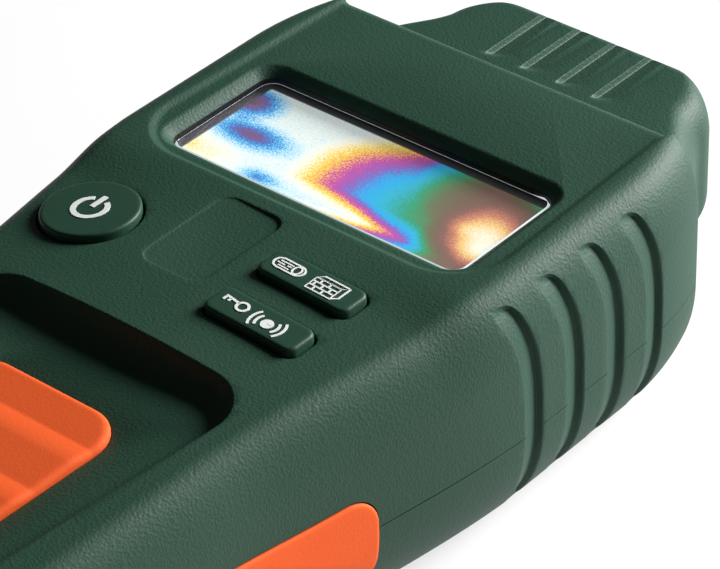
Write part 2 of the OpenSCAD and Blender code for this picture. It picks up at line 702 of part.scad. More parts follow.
// Chips under the board: place from the middle of the display, width, length and height
chip_back = 4;
module board_chips() {
    under = [[-8, 0, 13, 13, 1.8], [9, -3, 9, 6.5, 1.5], [10, 8, 6, 4, 1.5], [-20, 4, 4.5, 3.2, 1.4],
        [-21, -4, 11, 4.5, 3.6], [20, -6, 3.2, 6, 1.4]];
    color(black) for (c = under)
        translate([c[0] - c[2] / 2, y_disp - chip_back + c[1] - c[3] / 2, board_low - c[4]])
            cube([c[2], c[3], c[4]]);
}
module board_screws() {
    color(steel) for (p = board_at) translate([p[0], p[1], board_low]) {
        translate([0, 0, -board_screw_head_h]) cylinder(d = board_screw_head_d, h = board_screw_head_h);
        cylinder(d = board_screw_d - 0.1, h = board_t + board_bite);
    }
}
buzzer_d = 12;
buzzer_h = 5;
buzzer_hole = 2;
buzzer_in = 18;
buzzer_back = 31;
module buzzer() {
    color(black) translate([head_w / 2 - buzzer_in, y_disp - buzzer_back, board_low]) difference() {
        translate([0, 0, -buzzer_h]) cylinder(d = buzzer_d, h = buzzer_h);
        translate([0, 0, -buzzer_h - 1]) cylinder(d = buzzer_hole, h = 3);
    }
}

// Switches under the keys: the key's stem stands just above the actuator
switch_w = 6;
switch_h = 3.5;
lug_w = 8;
lug_out = 1;
flange_z = face_z(power_at[0] - lug_w / 2, power_at[1] - power_d / 2) - wall - flange_t - key_gap;
stem_l = 2;
stem_free = 0.1;
actuator_z = flange_z - stem_l - key_travel - stem_free;
module key_switches() {
    color(black) for (p = [power_at, material_at, lock_at]) translate([p[0], p[1], board_z]) {
        translate([-switch_w / 2, -switch_w / 2, 0]) cube([switch_w, switch_w, switch_h]);
        cylinder(d = stem_d, h = actuator_z - board_z);
    }
}
// Key: a cap whose top follows the crown, lugs that hold it inside the shell and a stem
key_block = 9;
module key_top(at) {
    z = face_z(at[0], at[1]) + key_proud;
    difference() {
        children();
        translate([at[0], at[1], z]) rotate([0, face_tilt(at[0], at[1]), 0])
            translate([-bar_w, -bar_w, 0]) cube([2 * bar_w, 2 * bar_w, key_block]);
    }
    translate([at[0], at[1], flange_z - stem_l]) cylinder(d = stem_d, h = stem_l + flange_t / 2);
}
module power_key() {
    color(green) key_top(power_at) translate([power_at[0], power_at[1], flange_z]) {
        cylinder(d = power_d, h = key_block);
        translate([-lug_w / 2, -power_d / 2 - lug_out, 0]) cube([lug_w, power_d + 2 * lug_out, flange_t]);
    }
}
module bar_key(at) {
    color(green) key_top(at) translate([at[0], at[1], flange_z]) {
        linear_extrude(key_block) polygon(rounded(box(bar_w, bar_l), bar_r));
        linear_extrude(flange_t)
            polygon(rounded(box(bar_w + 2 * lug_out, bar_l + 2 * lug_out), bar_r + lug_out));
    }
}
module material_key() { bar_key(material_at); }
module lock_key() { bar_key(lock_at); }

// Rubber grips
module grip_pad() {
    n = 12 * pad_ribs;
    step = (pad_top - pad_end) / n;
    slope = (floor_z(pad_top) - floor_z(pad_end)) / (pad_top - pad_end);
    base = floor_z(pad_end) - slope * pad_end;
    over = 1;
    function beyond(i) = i == n ? over : i == 0 ? -over : 0;
    profile = concat([[pad_end - over, base + slope * (pad_end - over) - seat_deep],
        [pad_top + over, base + slope * (pad_top + over) - seat_deep]],
        [for (i = [n:-1:0]) let (y = pad_end + i * step) [y + beyond(i), base + slope * y + pad_crest(y)]]);
    color(orange) intersection() {
        translate([-pad_w, 0, 0]) rotate([90, 0, 90]) linear_extrude(2 * pad_w) polygon(profile);
        linear_extrude(body_d + 5) polygon(pad_edge(0));
    }
}
module left_grip() { color(orange) side_strip(0, seat_deep - eps, grip_proud, -1); }
module right_grip() { color(orange) side_strip(0, seat_deep - eps, grip_proud, 1); }

// Battery and its snap clip
stud_pitch = 12.7;
stud_big = 8.2;
stud_small = 5.8;
clip_y = battery_y + battery_l + stud_h;
module studs(y, g, h) {
    for (k = [[-1, stud_big], [1, stud_small]])
        translate([k[0] * stud_pitch / 2, y, battery_z + battery_t / 2]) rotate([-90, 0, 0])
            cylinder(d = k[1] + 2 * g, h = h);
}
module battery() {
    color([0.2, 0.2, 0.22]) {
        translate([0, battery_y, battery_z]) rotate([-90, 0, 0]) linear_extrude(battery_l) mirror([0, 1])
            polygon(moved(rounded(box(battery_w, battery_t), 2), [0, battery_t / 2]));
        studs(battery_y + battery_l, 0, stud_h - eps);
    }
}
clip_w = 25;
clip_h = 12;
clip_t = 3.4;
stud_gap = 0.1;
clip_front = clip_y - stud_h + seat_gap;
clip_back = clip_front + clip_t;
module battery_clip() {
    color(black) difference() {
        translate([-clip_w / 2, clip_front, battery_z + battery_t / 2 - clip_h / 2])
            cube([clip_w, clip_t, clip_h]);
        studs(clip_y - stud_h - 1, stud_gap, stud_h + 1);
    }
}
lead_up = 4;
lead_apart = 6;
lead_on_board = 5;
module battery_leads() {
    z0 = battery_z + battery_t / 2 + lead_up;
    for (s = [-1, 1]) color(s > 0 ? "red" : "black")
        lead(bend([s * lead_apart / 2, clip_back + eps, z0],
            [s * lead_apart, board_tail + lead_on_board, board_low - eps]), lead_r);
}
foam_short = 4;
module battery_pad() {
    color([0.25, 0.25, 0.25]) translate([-foam_w / 2, battery_y + foam_short, door_in + door_t])
        cube([foam_w, battery_l - 2 * foam_short, foam_t]);
}
// Finger grooves across the door's head end
door_grooves = 5;
door_groove_w = 14;
door_groove_l = 0.8;
door_groove_deep = 0.4;
door_groove_back = 9;
module battery_door() {
    color(green) difference() {
        intersection() {
            loft([for (y = stations(0)) if (y < y_full) rear_ring(y, 0, seam_z, outer_n)]);
            door_prism(0);
        }
        for (i = [0:door_grooves - 1])
            translate([-door_groove_w / 2, door_top - door_groove_back + i * 2 * door_groove_l, 0])
                cube([door_groove_w, door_groove_l, door_in + door_groove_deep]);
    }
}
slot_l = 3.2;
slot_w = 0.8;
slot_deep = 1;
module case_screws() {
    color(steel) for (p = screw_at) translate([p[0], p[1], screw_sink]) difference() {
        union() {
            translate([0, 0, -screw_head_h]) cylinder(d = screw_head_d, h = screw_head_h);
            cylinder(d = screw_d - 0.1, h = screw_l);
        }
        for (a = [0, 90]) translate([0, 0, -screw_head_h - 1]) rotate(a)
            translate([-slot_l / 2, -slot_w / 2, 0]) cube([slot_l, slot_w, slot_deep + 1]);
    }
}

front_shell();
rear_shell();
cap();
nose_block();
pin_sockets();
electrode_pins();
pin_leads();
window_lens();
display_frame();
display_glass();
display_strips();
circuit_board();
board_chips();
board_screws();
buzzer();
key_switches();
power_key();
material_key();
lock_key();
grip_pad();
left_grip();
right_grip();
battery();
battery_clip();
battery_leads();
battery_pad();
battery_door();
case_screws();
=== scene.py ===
import bpy
import bmesh
from math import acos, asin, atan, cos, hypot, pi, radians, sin, sqrt, tan
from mathutils import Matrix, Vector


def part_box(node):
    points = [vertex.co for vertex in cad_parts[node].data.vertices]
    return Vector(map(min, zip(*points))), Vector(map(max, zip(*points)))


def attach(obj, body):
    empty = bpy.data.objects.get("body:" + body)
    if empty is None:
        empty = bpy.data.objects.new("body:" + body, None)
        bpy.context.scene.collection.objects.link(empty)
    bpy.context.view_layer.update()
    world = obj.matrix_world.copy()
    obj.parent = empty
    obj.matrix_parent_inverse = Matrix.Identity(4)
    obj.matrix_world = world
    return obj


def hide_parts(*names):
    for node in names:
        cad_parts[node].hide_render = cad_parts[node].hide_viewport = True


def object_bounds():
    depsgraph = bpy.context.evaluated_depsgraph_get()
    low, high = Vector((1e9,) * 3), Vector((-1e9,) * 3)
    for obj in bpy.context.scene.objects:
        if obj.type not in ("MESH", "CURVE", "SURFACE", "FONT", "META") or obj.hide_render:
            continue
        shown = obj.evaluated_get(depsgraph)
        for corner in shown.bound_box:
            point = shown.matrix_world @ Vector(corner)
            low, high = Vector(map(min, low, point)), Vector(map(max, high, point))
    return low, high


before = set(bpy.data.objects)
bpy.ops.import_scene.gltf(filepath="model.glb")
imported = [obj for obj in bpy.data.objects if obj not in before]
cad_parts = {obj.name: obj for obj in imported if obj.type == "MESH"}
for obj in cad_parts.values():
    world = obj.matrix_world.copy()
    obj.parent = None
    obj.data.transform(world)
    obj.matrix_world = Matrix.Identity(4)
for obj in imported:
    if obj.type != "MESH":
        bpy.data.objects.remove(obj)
cadLow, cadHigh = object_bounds()
print("frame loaded:", len(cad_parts), "nodes")

scene = bpy.context.scene
mm = 0.001
over = 3.0  # how far a cutting tool stands clear of the surface, in millimetres


def boxOf(node):  # a node's corners in millimetres
    low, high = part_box(node)
    return low / mm, high / mm


frontLow, frontHigh = boxOf("front_shell")
capLow, capHigh = boxOf("cap")
padLow, padHigh = boxOf("grip_pad")
lensLow, lensHigh = boxOf("window_lens")
glassLow, glassHigh = boxOf("display_glass")
doorHigh = boxOf("battery_door")[1]

tailY, headY, seamZ, depth = frontLow.y, frontHigh.y, frontLow.z, frontHigh.z

# outer form of the housing, in millimetres like everything up to finishPiece
body = {
    "halfHead": frontHigh.x, "handleHalf": 28.2, "tailHalf": 23.3, "handleFall": 2.5, "wall": 2.4,
    "shoulderW": 5.6, "shoulderH": 10.5, "backRound": 8.0, "tailRound": 14.0, "tailTopRound": 7.0,
    "tailBackRound": 5.0, "crownFall": 1.3, "crownFlatter": 0.75, "crownFrom": 14.0, "crownOver": 10.0,
    "displayBack": 29.5, "neckBack": 55.0, "fullBack": 10.0, "stepBack": 43.6, "narrowFrom": 15.0,
    "narrowBy": 2.8, "headEdge": 0.9, "headTurns": 6, "seamBevel": 0.2, "rearBevel": 0.02,
}
displayY = headY - body["displayBack"]
stepY = displayY - body["stepBack"]
neckY = displayY - body["neckBack"]
fullY = displayY - body["fullBack"]


def smooth(t):
    u = max(0.0, min(1.0, t))
    return u * u * (3 - 2 * u)


def oval(t):  # height of a quarter oval, t from its crown to its end
    return sqrt(max(0.0, 1 - t * t))


def spaced(low, high, count):  # evenly spaced values with both ends
    return [low + (high - low) * k / count for k in range(count + 1)]


def quarterTurns(steps):
    return spaced(0.0, pi / 2, steps)


def drawnIn(u, r):  # how far a round end of radius r draws in, u from its tip
    return 0.0 if u >= r else r - sqrt(max(0.0, r * r - (r - u) ** 2))


def handleTaper(y):
    perLength = (body["handleHalf"] - body["tailHalf"]) / (neckY - tailY)
    return body["handleHalf"] + (y - neckY) * perLength


def handleDrop(y):  # the handle's front falls towards the tail
    return body["handleFall"] * max(0.0, (stepY - y) / (stepY - tailY))


def planHalf(y):  # half width seen from the front
    if y > fullY:
        run = max(0.0, (y - displayY - body["narrowFrom"]) / (body["displayBack"] - body["narrowFrom"]))
        return body["halfHead"] - body["narrowBy"] * run ** 2
    swell = (body["halfHead"] - handleTaper(fullY)) * smooth((y - neckY) / (fullY - neckY))
    return handleTaper(y) + swell


def halfWidth(y, d=0.0):
    return planHalf(y) - d - drawnIn(y - tailY - d, body["tailRound"] - d)


def topZ(y, d=0.0):
    return depth - handleDrop(y) - d - drawnIn(y - tailY - d, body["tailTopRound"] - d)


def backZ(y, d=0.0):
    return d + drawnIn(y - tailY - d, body["tailBackRound"] - d)


def crown(y):  # how far the front face falls towards its sides
    flatter = body["crownFlatter"] * smooth((y - fullY + body["crownFrom"]) / body["crownOver"])
    return body["crownFall"] * (1 - flatter)


def skinX(y, z):  # half width of the housing's skin at a height
    if z < seamZ:
        return halfWidth(y) - body["backRound"] * (1 - oval((seamZ - z) / (seamZ - backZ(y))))
    below = topZ(y) - crown(y) - z
    return halfWidth(y) - body["shoulderW"] * (1 - oval(max(0.0, 1 - below / body["shoulderH"])))


def faceZ(x, y):  # height of the front face
    flat = halfWidth(y) - body["shoulderW"]
    if abs(x) <= flat:
        return topZ(y) - crown(y) * (x / flat) ** 2
    return topZ(y) - crown(y) - body["shoulderH"] * (1 - oval(min(1.0, (abs(x) - flat) / body["shoulderW"])))


def faceTilt(x, y):
    return atan(2 * crown(y) * x / (halfWidth(y) - body["shoulderW"]) ** 2)


# mesh helpers
def wrapLoops(loops, closed=True, ends=True):  # a grid laid over loops with the same number of points
    bm = bmesh.new()
    across = len(loops[0]) if closed else len(loops[0]) - 1
    bmesh.ops.create_grid(bm, x_segments=across, y_segments=len(loops) - 1, size=1.0)
    rows = sorted(bm.verts, key=lambda v: (round(v.co.y, 6), v.co.x))
    points = [p for loop in loops for p in (list(loop) + [loop[0]] if closed else loop)]
    for vert, point in zip(rows, points, strict=True):
        vert.co = point
    bmesh.ops.remove_doubles(bm, verts=bm.verts, dist=1e-5)
    if ends:
        bmesh.ops.holes_fill(bm, edges=[e for e in bm.edges if e.is_boundary], sides=0)
    bmesh.ops.recalc_face_normals(bm, faces=bm.faces)
    return bm


def roundedOutline(corners, radius, step=1.2, arcSteps=9):  # points with their outward normals, anticlockwise
    outline = []
    count = len(corners)
    for i, corner in enumerate(corners):
        a, p, b = Vector(corners[i - 1]), Vector(corner), Vector(corners[(i + 1) % count])
        u, v = (a - p).normalized(), (b - p).normalized()
        half = acos(max(-1.0, min(1.0, u.dot(v)))) / 2
        centre = p + (u + v).normalized() * (radius / sin(half))
        start = Vector((-u.y, u.x))
        turn = pi - 2 * half
        for k in range(arcSteps + 1):
            n = Matrix.Rotation(turn * k / arcSteps, 2) @ start
            outline.append((centre.x + n.x * radius, centre.y + n.y * radius, n.x, n.y))
    filled = []
    for here, there in zip(outline, outline[1:] + outline[:1]):
        way = (there[0] - here[0], there[1] - here[1])
        straight = abs(here[2] - there[2]) + abs(here[3] - there[3]) < 1e-6
        pieces = int(hypot(*way) / step) if straight else 1
        shares = [k / pieces for k in range(1, pieces)]
        filled += [here] + [(here[0] + way[0] * t, here[1] + way[1] * t, here[2], here[3]) for t in shares]
    return filled


def boxCorners(centre, width, length):
    x, y = centre
    return [(x - width / 2, y - length / 2), (x + width / 2, y - length / 2),
            (x + width / 2, y + length / 2), (x - width / 2, y + length / 2)]


def circleOutline(centre, radius, steps=72):
    turns = spaced(0.0, 2 * pi, steps)[:-1]
    return [(centre[0] + radius * cos(a), centre[1] + radius * sin(a), cos(a), sin(a)) for a in turns]


def solidObject(name, bm):
    mesh = bpy.data.meshes.new(name)
    bm.to_mesh(mesh)
    bm.free()
    obj = bpy.data.objects.new(name, mesh)
    scene.collection.objects.link(obj)
    return obj


def profileMesh(outline, profile, ends=True):  # rows of way out and height, fixed or made at x, y
    rows = [profile(x, y) if callable(profile) else profile for x, y, nx, ny in outline]
    loops = []
    for k in range(len(rows[0])):
        steps = [(*point, *row[k]) for point, row in zip(outline, rows)]
        loops.append([(x + nx * out, y + ny * out, z) for x, y, nx, ny, out, z in steps])
    return wrapLoops(loops, ends=ends)


def profileTool(name, outline, profile):
    return solidObject(name, profileMesh(outline, profile))


def loft(name, loops):
    return solidObject(name, wrapLoops(loops))


def sweptTool(name, section, places):  # a section in x and z, carried along y
    return loft(name, [[(x, y, z) for x, z in section] for y in places])


def boxTool(name, low, high):
    bm = bmesh.new()
    bmesh.ops.create_cube(bm, size=1.0)
    bmesh.ops.scale(bm, vec=Vector(high) - Vector(low), verts=bm.verts)
    bmesh.ops.translate(bm, vec=(Vector(low) + Vector(high)) / 2, verts=bm.verts)
    return solidObject(name, bm)


def rodTools(name, places, radius, low, high, steps=40):
    rods = []
    for x, y in places:
        bm = bmesh.new()
        bmesh.ops.create_cone(
            bm, cap_ends=True, segments=steps, radius1=radius, radius2=radius, depth=high - low)
        bmesh.ops.translate(bm, vec=(x, y, (low + high) / 2), verts=bm.verts)
        rods.append(solidObject(name, bm))
    return rods


def carve(target, tools, how="DIFFERENCE"):
    for tool in tools:
        cut = target.modifiers.new("cut", "BOOLEAN")
        cut.solver = "MANIFOLD"
        cut.operation = how
        cut.object = tool
    evaluated = target.evaluated_get(bpy.context.evaluated_depsgraph_get())
    shaped = bpy.data.meshes.new_from_object(evaluated)
    target.modifiers.clear()
    target.data = shaped
    for tool in tools:
        bpy.data.objects.remove(tool)
    return target


def finishPiece(obj, rides, finish, nodes=(), angle=32):
    mesh = obj.data
    mesh.transform(Matrix.Scale(mm, 4))
    mesh.materials.clear()
    mesh.materials.append(finishes[finish])
    for face in mesh.polygons:
        face.use_smooth = True
        face.material_index = 0
    mesh.set_sharp_from_angle(angle=radians(angle))
    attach(obj, rides)
    if nodes:
        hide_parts(*nodes)
    print("piece", obj.name, len(mesh.polygons), "faces")


# shader helpers
def fillSockets(node, sockets):  # a socket takes a value, or a link from another node's output
    for key, value in sockets.items():
        if isinstance(value, bpy.types.NodeSocket):
            node.id_data.links.new(value, node.inputs[key])
        else:
            node.inputs[key].default_value = value


def addNode(tree, kind, sockets, **settings):  # gives back the new node's outputs
    made = tree.nodes.new("ShaderNode" + kind)
    for key, value in settings.items():
        setattr(made, key, value)
    fillSockets(made, sockets)
    return made.outputs


def newMaterial(name):
    material = bpy.data.materials.new(name)
    material.use_nodes = True
    return material, material.node_tree, material.node_tree.nodes["Principled BSDF"]


def rangeOf(tree, value, low, high):
    return addNode(tree, "MapRange", {"Value": value, "To Min": low, "To Max": high})["Result"]


moulding = {"cellSoft": 0.6, "mottleSize": 60.0, "roughSpan": 0.05, "bumpHeight": 0.0001}


def grainGroup():  # moulded grain: small soft bumps with a slow change over the surface
    group = bpy.data.node_groups.new("mouldedGrain", "ShaderNodeTree")
    for name, side in (("Size", "INPUT"), ("Height", "OUTPUT"), ("Mottle", "OUTPUT")):
        group.interface.new_socket(name=name, in_out=side, socket_type="NodeSocketFloat")
    place = addNode(group, "TexCoord", {})["Object"]
    both = {"Vector": place, "Scale": group.nodes.new("NodeGroupInput").outputs["Size"]}
    cells = addNode(group, "TexVoronoi", {**both, "Smoothness": moulding["cellSoft"]}, feature="SMOOTH_F1")
    fine = addNode(group, "TexNoise", {**both, "Detail": 3.0, "Roughness": 0.6})
    slow = addNode(group, "TexNoise", {"Vector": place, "Scale": moulding["mottleSize"], "Detail": 2.0})
    total = addNode(group, "Math", {0: cells["Distance"], 1: fine["Fac"]}, operation="ADD")
    fillSockets(group.nodes.new("NodeGroupOutput"), {"Height": total["Value"], "Mottle": slow["Fac"]})
    return group


grain = grainGroup()


def grainedMaterial(name, dark, light, rough, grainSize, bump, specular=0.5, metallic=0.0):
    material, tree, shader = newMaterial(name)
    effect = addNode(tree, "Group", {"Size": grainSize}, node_tree=grain)
    mottle, span = effect["Mottle"], moulding["roughSpan"]
    colours = {"A": (*dark, 1.0), "B": (*light, 1.0), "Factor": mottle}
    bumps = {"Strength": bump, "Distance": moulding["bumpHeight"], "Height": effect["Height"]}
    fillSockets(shader, {
        "Base Color": addNode(tree, "Mix", colours, data_type="RGBA")["Result"],
        "Roughness": rangeOf(tree, mottle, rough - span, rough + span),
        "Normal": addNode(tree, "Bump", bumps)["Normal"],
        "Specular IOR Level": specular, "Metallic": metallic})
    return material


# dark and light colour, roughness, size and bump of the grain, then specular level and metallic
finishSettings = {
    "shellGreen": ((0.016, 0.056, 0.034), (0.021, 0.067, 0.042), 0.56, 2600, 0.4, 0.28),
    "keyGreen": ((0.016, 0.055, 0.034), (0.020, 0.063, 0.039), 0.48, 3600, 0.12, 0.28),
    "gripOrange": ((0.86, 0.115, 0.025), (0.90, 0.135, 0.034), 0.6, 3000, 0.12, 0.08),
    "innerBlack": ((0.006, 0.006, 0.007), (0.010, 0.010, 0.011), 0.6, 2600, 0.2, 0.2),
    "frameGrey": ((0.13, 0.12, 0.145), (0.15, 0.14, 0.165), 0.5, 2600, 0.1),
    "socketBrass": ((0.62, 0.42, 0.15), (0.72, 0.51, 0.2), 0.28, 1500, 0.1, 0.5, 1.0),
    "pinSteel": ((0.56, 0.57, 0.59), (0.66, 0.67, 0.69), 0.22, 1500, 0.1, 0.5, 1.0),
    "screwSteel": ((0.42, 0.43, 0.44), (0.55, 0.56, 0.57), 0.35, 1500, 0.2, 0.5, 1.0),
    "leadWhite": ((0.66, 0.66, 0.64), (0.74, 0.74, 0.72), 0.35, 2000, 0.1),
    "stripRubber": ((0.42, 0.10, 0.12), (0.5, 0.13, 0.15), 0.6, 2500, 0.3),
    "boardGreen": ((0.012, 0.10, 0.03), (0.02, 0.13, 0.045), 0.35, 1200, 0.2),
    "batteryCase": ((0.03, 0.03, 0.034), (0.045, 0.045, 0.05), 0.3, 1200, 0.1),
    "foamGrey": ((0.04, 0.04, 0.043), (0.07, 0.07, 0.073), 0.85, 1500, 0.8, 0.2),
    "signWhite": ((0.80, 0.83, 0.81), (0.86, 0.89, 0.87), 0.5, 3000, 0.05),
    # painted highlight: pale colours for the glint strip on the lens's edge, which also glows
    "lensEdgePaintedGlint": ((0.30, 0.36, 0.38), (0.38, 0.40, 0.38), 0.12, 400, 0.0),
}
finishes = {name: grainedMaterial(name, *settings) for name, settings in finishSettings.items()}
# painted highlight: the lens's edge glows pale blue-white to stand in for light caught by it
paintedEdgeGlint = {"Emission Color": (0.8, 0.9, 0.92, 1.0), "Emission Strength": 0.7}
fillSockets(finishes["lensEdgePaintedGlint"].node_tree.nodes["Principled BSDF"], paintedEdgeGlint)


def lensMaterial():
    material, tree, shader = newMaterial("clearLens")
    fillSockets(shader, {"Base Color": (0.9, 0.95, 0.95, 1.0), "Roughness": 0.04, "Alpha": 0.03})
    return material


film = {
    "width": glassHigh.x - glassLow.x, "length": glassHigh.y - glassLow.y,
    # glow is painted light: the film glows with its own colours so it stays bright in the window's shadow
    "middle": (glassLow.y + glassHigh.y) / 2, "glow": 0.54, "shade": 0.6, "speckle": 0.12,
    "speckleSize": 5200.0, "waves": 0.03, "waveSize": 160.0, "thin": -0.35, "thick": 1.62,
    # soft hills of the film's thickness: place across and down the display, reach across and down, height
    "hills": [
        ((0.86, 0.50), (0.58, 0.90), 0.85), ((0.97, 0.62), (0.20, 0.60), 0.85),
        ((0.84, 0.00), (0.25, 0.60), 0.55), ((0.62, 0.86), (0.36, 0.22), -0.34),
        ((0.75, 1.05), (0.50, 0.20), 0.40), ((0.00, 0.20), (0.14, 0.24), -0.34),
        ((0.11, 0.52), (0.20, 0.20), -0.26), ((0.26, 0.88), (0.08, 0.12), -0.18),
        ((0.00, 0.85), (0.20, 0.20), 0.12),
    ],
    # colours in the order in which a thickening film shows them
    "colours": [
        (-0.34, (0.06, 0.05, 0.09)), (-0.26, (0.20, 0.08, 0.15)), (-0.20, (0.09, 0.08, 0.38)),
        (-0.14, (0.01, 0.37, 0.78)), (-0.07, (0.48, 0.77, 0.90)), (0.00, (0.82, 0.90, 0.89)),
        (0.06, (0.92, 0.92, 0.76)), (0.12, (0.94, 0.72, 0.10)), (0.17, (0.90, 0.44, 0.06)),
        (0.22, (0.60, 0.06, 0.30)), (0.28, (0.37, 0.07, 0.42)), (0.33, (0.11, 0.14, 0.55)),
        (0.38, (0.00, 0.39, 0.83)), (0.48, (0.01, 0.43, 0.62)), (0.60, (0.01, 0.33, 0.14)),
        (0.72, (0.12, 0.17, 0.07)), (0.86, (0.17, 0.11, 0.07)), (1.02, (0.24, 0.10, 0.08)),
        (1.16, (0.58, 0.20, 0.12)), (1.28, (0.90, 0.58, 0.20)), (1.42, (0.92, 0.90, 0.72)),
        (1.60, (0.84, 0.90, 0.92)),
    ],
}


def filmThickness(tree):
    width, length = film["width"], film["length"]
    place = addNode(tree, "TexCoord", {})["Object"]
    corner = (-width / 2 * mm, (film["middle"] + length / 2) * mm, 0.0)
    across = {"Vector": place, "Location": corner, "Scale": (width * mm, -length * mm, 1000.0)}
    across = addNode(tree, "Mapping", across, vector_type="TEXTURE")["Vector"]
    grainy = addNode(tree, "TexNoise", {"Vector": place, "Scale": film["speckleSize"], "Detail": 1.0})
    waves = addNode(tree, "TexNoise", {"Vector": place, "Scale": film["waveSize"], "Detail": 1.0})
    thickness = rangeOf(tree, grainy["Fac"], -film["speckle"], film["speckle"])
    for at, reach, height in film["hills"]:
        spot = {"Vector": across, "Location": (*at, 0.0), "Scale": (*reach, 1.0)}
        spot = addNode(tree, "Mapping", spot, vector_type="TEXTURE")
        hill = addNode(tree, "TexGradient", {"Vector": spot["Vector"]}, gradient_type="SPHERICAL")
        raised = {0: hill["Fac"], 1: height, 2: thickness}
        thickness = addNode(tree, "Math", raised, operation="MULTIPLY_ADD")["Value"]
    wavy = rangeOf(tree, waves["Fac"], -film["waves"], film["waves"])
    return addNode(tree, "Math", {0: thickness, 1: wavy}, operation="ADD")["Value"]


def filmMaterial():  # rainbow film over the display; it also glows with its own colours as painted light
    material, tree, shader = newMaterial("displayFilm")
    thin, thick = film["thin"], film["thick"]
    order = addNode(tree, "MapRange", {"Value": filmThickness(tree), "From Min": thin, "From Max": thick})
    bands = tree.nodes.new("ShaderNodeValToRGB")
    fillSockets(bands, {"Fac": order["Result"]})
    ramp = bands.color_ramp
    while len(ramp.elements) < len(film["colours"]):
        ramp.elements.new(0.5)
    for element, (at, colour) in zip(ramp.elements, film["colours"]):
        element.position = (at - thin) / (thick - thin)
        element.color = (*colour, 1.0)
    colour = bands.outputs["Color"]
    shaded = {"A": colour, "B": (film["shade"],) * 3 + (1.0,), "Factor": 1.0}
    shaded = addNode(tree, "Mix", shaded, data_type="RGBA", blend_type="MULTIPLY")
    # painted light: the film's colours are also given as emission
    fillSockets(shader, {
        "Base Color": shaded["Result"], "Emission Color": colour, "Emission Strength": film["glow"],
        "Roughness": 0.3, "Specular IOR Level": 0.02})
    return material


finishes["clearLens"] = lensMaterial()
finishes["displayFilm"] = filmMaterial()
print("materials made")


# housing: sections along the length, lofted, then carved
def lengthStations(d, fine):
    tail, head = tailY + d, headY - d
    arcSteps, pitch = (26, 1.1) if fine else (8, 4.0)
    stations = [tail + (body["tailRound"] - d) * (1 - cos(a)) for a in quarterTurns(arcSteps)]
    count = int((head - stations[-1]) / pitch)
    return stations + spaced(stations[-1], head, count)[1:]


def frontLoop(y, d, top, low, fine):
    h, fall = halfWidth(y, d), crown(y)
    rx, rz = body["shoulderW"] - d / 2, body["shoulderH"] - d
    crownSteps, roundSteps, sideSteps = (18, 18, 5) if fine else (6, 6, 1)
    turns = quarterTurns(roundSteps)[1:]
    half = [((h - rx) * t, top - fall * t ** 2) for t in spaced(0.0, 1.0, crownSteps)]
    half += [(h - rx + rx * sin(a), top - fall - rz * (1 - cos(a))) for a in turns]
    z = half[-1][1]
    bevel = body["seamBevel"] if fine else 0.0
    half += [(h, level) for level in spaced(z, low + bevel, sideSteps)[1:]]
    if bevel:
        half.append((h - bevel, low))
    return [(-x, y, z) for x, z in reversed(half[1:])] + [(x, y, z) for x, z in half]


def rearLoop(y, d, high, fine):
    h, low = halfWidth(y, d), backZ(y, d)
    rx = body["backRound"] - d / 2
    roundSteps, backSteps = (24, 8) if fine else (8, 1)
    bevel = body["rearBevel"] if fine else 0.0
    half = [(h - bevel, high)] if bevel or high > seamZ else []
    for a in quarterTurns(roundSteps):
        z = seamZ - (seamZ - low) * sin(a)
        half.append((h - rx + rx * cos(a), z if a else z - bevel))
    half += [((h - rx) * (1 - k / backSteps), low) for k in range(1, backSteps)]
    return [(x, y, z) for x, z in half] + [(-x, y, z) for x, z in reversed(half)]


def outerStations():  # places along the length with insets, which round the head's end
    r, turns = body["headEdge"], quarterTurns(body["headTurns"])[1:]
    straight = [(y, 0.0) for y in lengthStations(0.0, True) if y < headY - r]
    return straight + [(headY - r * (1 - sin(a)), r * (1 - cos(a))) for a in turns]


ribs = {
    "first": displayY - 7.6, "count": 4, "pitch": 8.2, "wide": 3.8, "low": 1.5, "top": depth - 1.9,
    "deep": 0.85, "start": 0.12, "levels": 44, "lean": 0.0139, "leanFrom": 18.0, "ahead": 0.8,
    "rampSteps": 12, "hook": 0.4, "hookDrop": 1.6, "lipDrop": 0.9, "lipReach": 0.62, "topFade": 1.1,
    "lowFade": 2.0, "fadeFrom": 0.05,
    # wall at the ramp's end: way along the length, share of the depth, drop of its top
    "wall": [
        (0.08, 0.96, 0.80), (0.14, 0.80, 0.88), (0.20, 0.54, 0.95), (0.26, 0.28, 1.02), (0.34, 0.10, 1.10),
        (0.46, 0.02, 1.20), (0.66, -0.05, 1.40), (0.90, -0.18, 1.60),
    ],
}


def ribLean(z):  # the ribs lean back towards the handle over the shoulder
    return ribs["ahead"] - ribs["lean"] * max(0.0, z - ribs["leanFrom"]) ** 2


def ribRows(y):  # a ramp that deepens towards the head, then a soft wall
    rows = []
    for t in spaced(0.0, 1.0, ribs["rampSteps"]):
        if t < ribs["hook"]:
            drop = ribs["hookDrop"] * (1 - t / ribs["hook"]) ** 2
        else:
            drop = ribs["lipDrop"] * (1 - oval((t - ribs["hook"]) / ribs["lipReach"]))
        rows.append((y - ribs["wide"] * (1 - t), (ribs["deep"] + ribs["start"]) * t - ribs["start"], drop))
    return rows + [(y + along, ribs["deep"] * share, drop) for along, share, drop in ribs["wall"]]


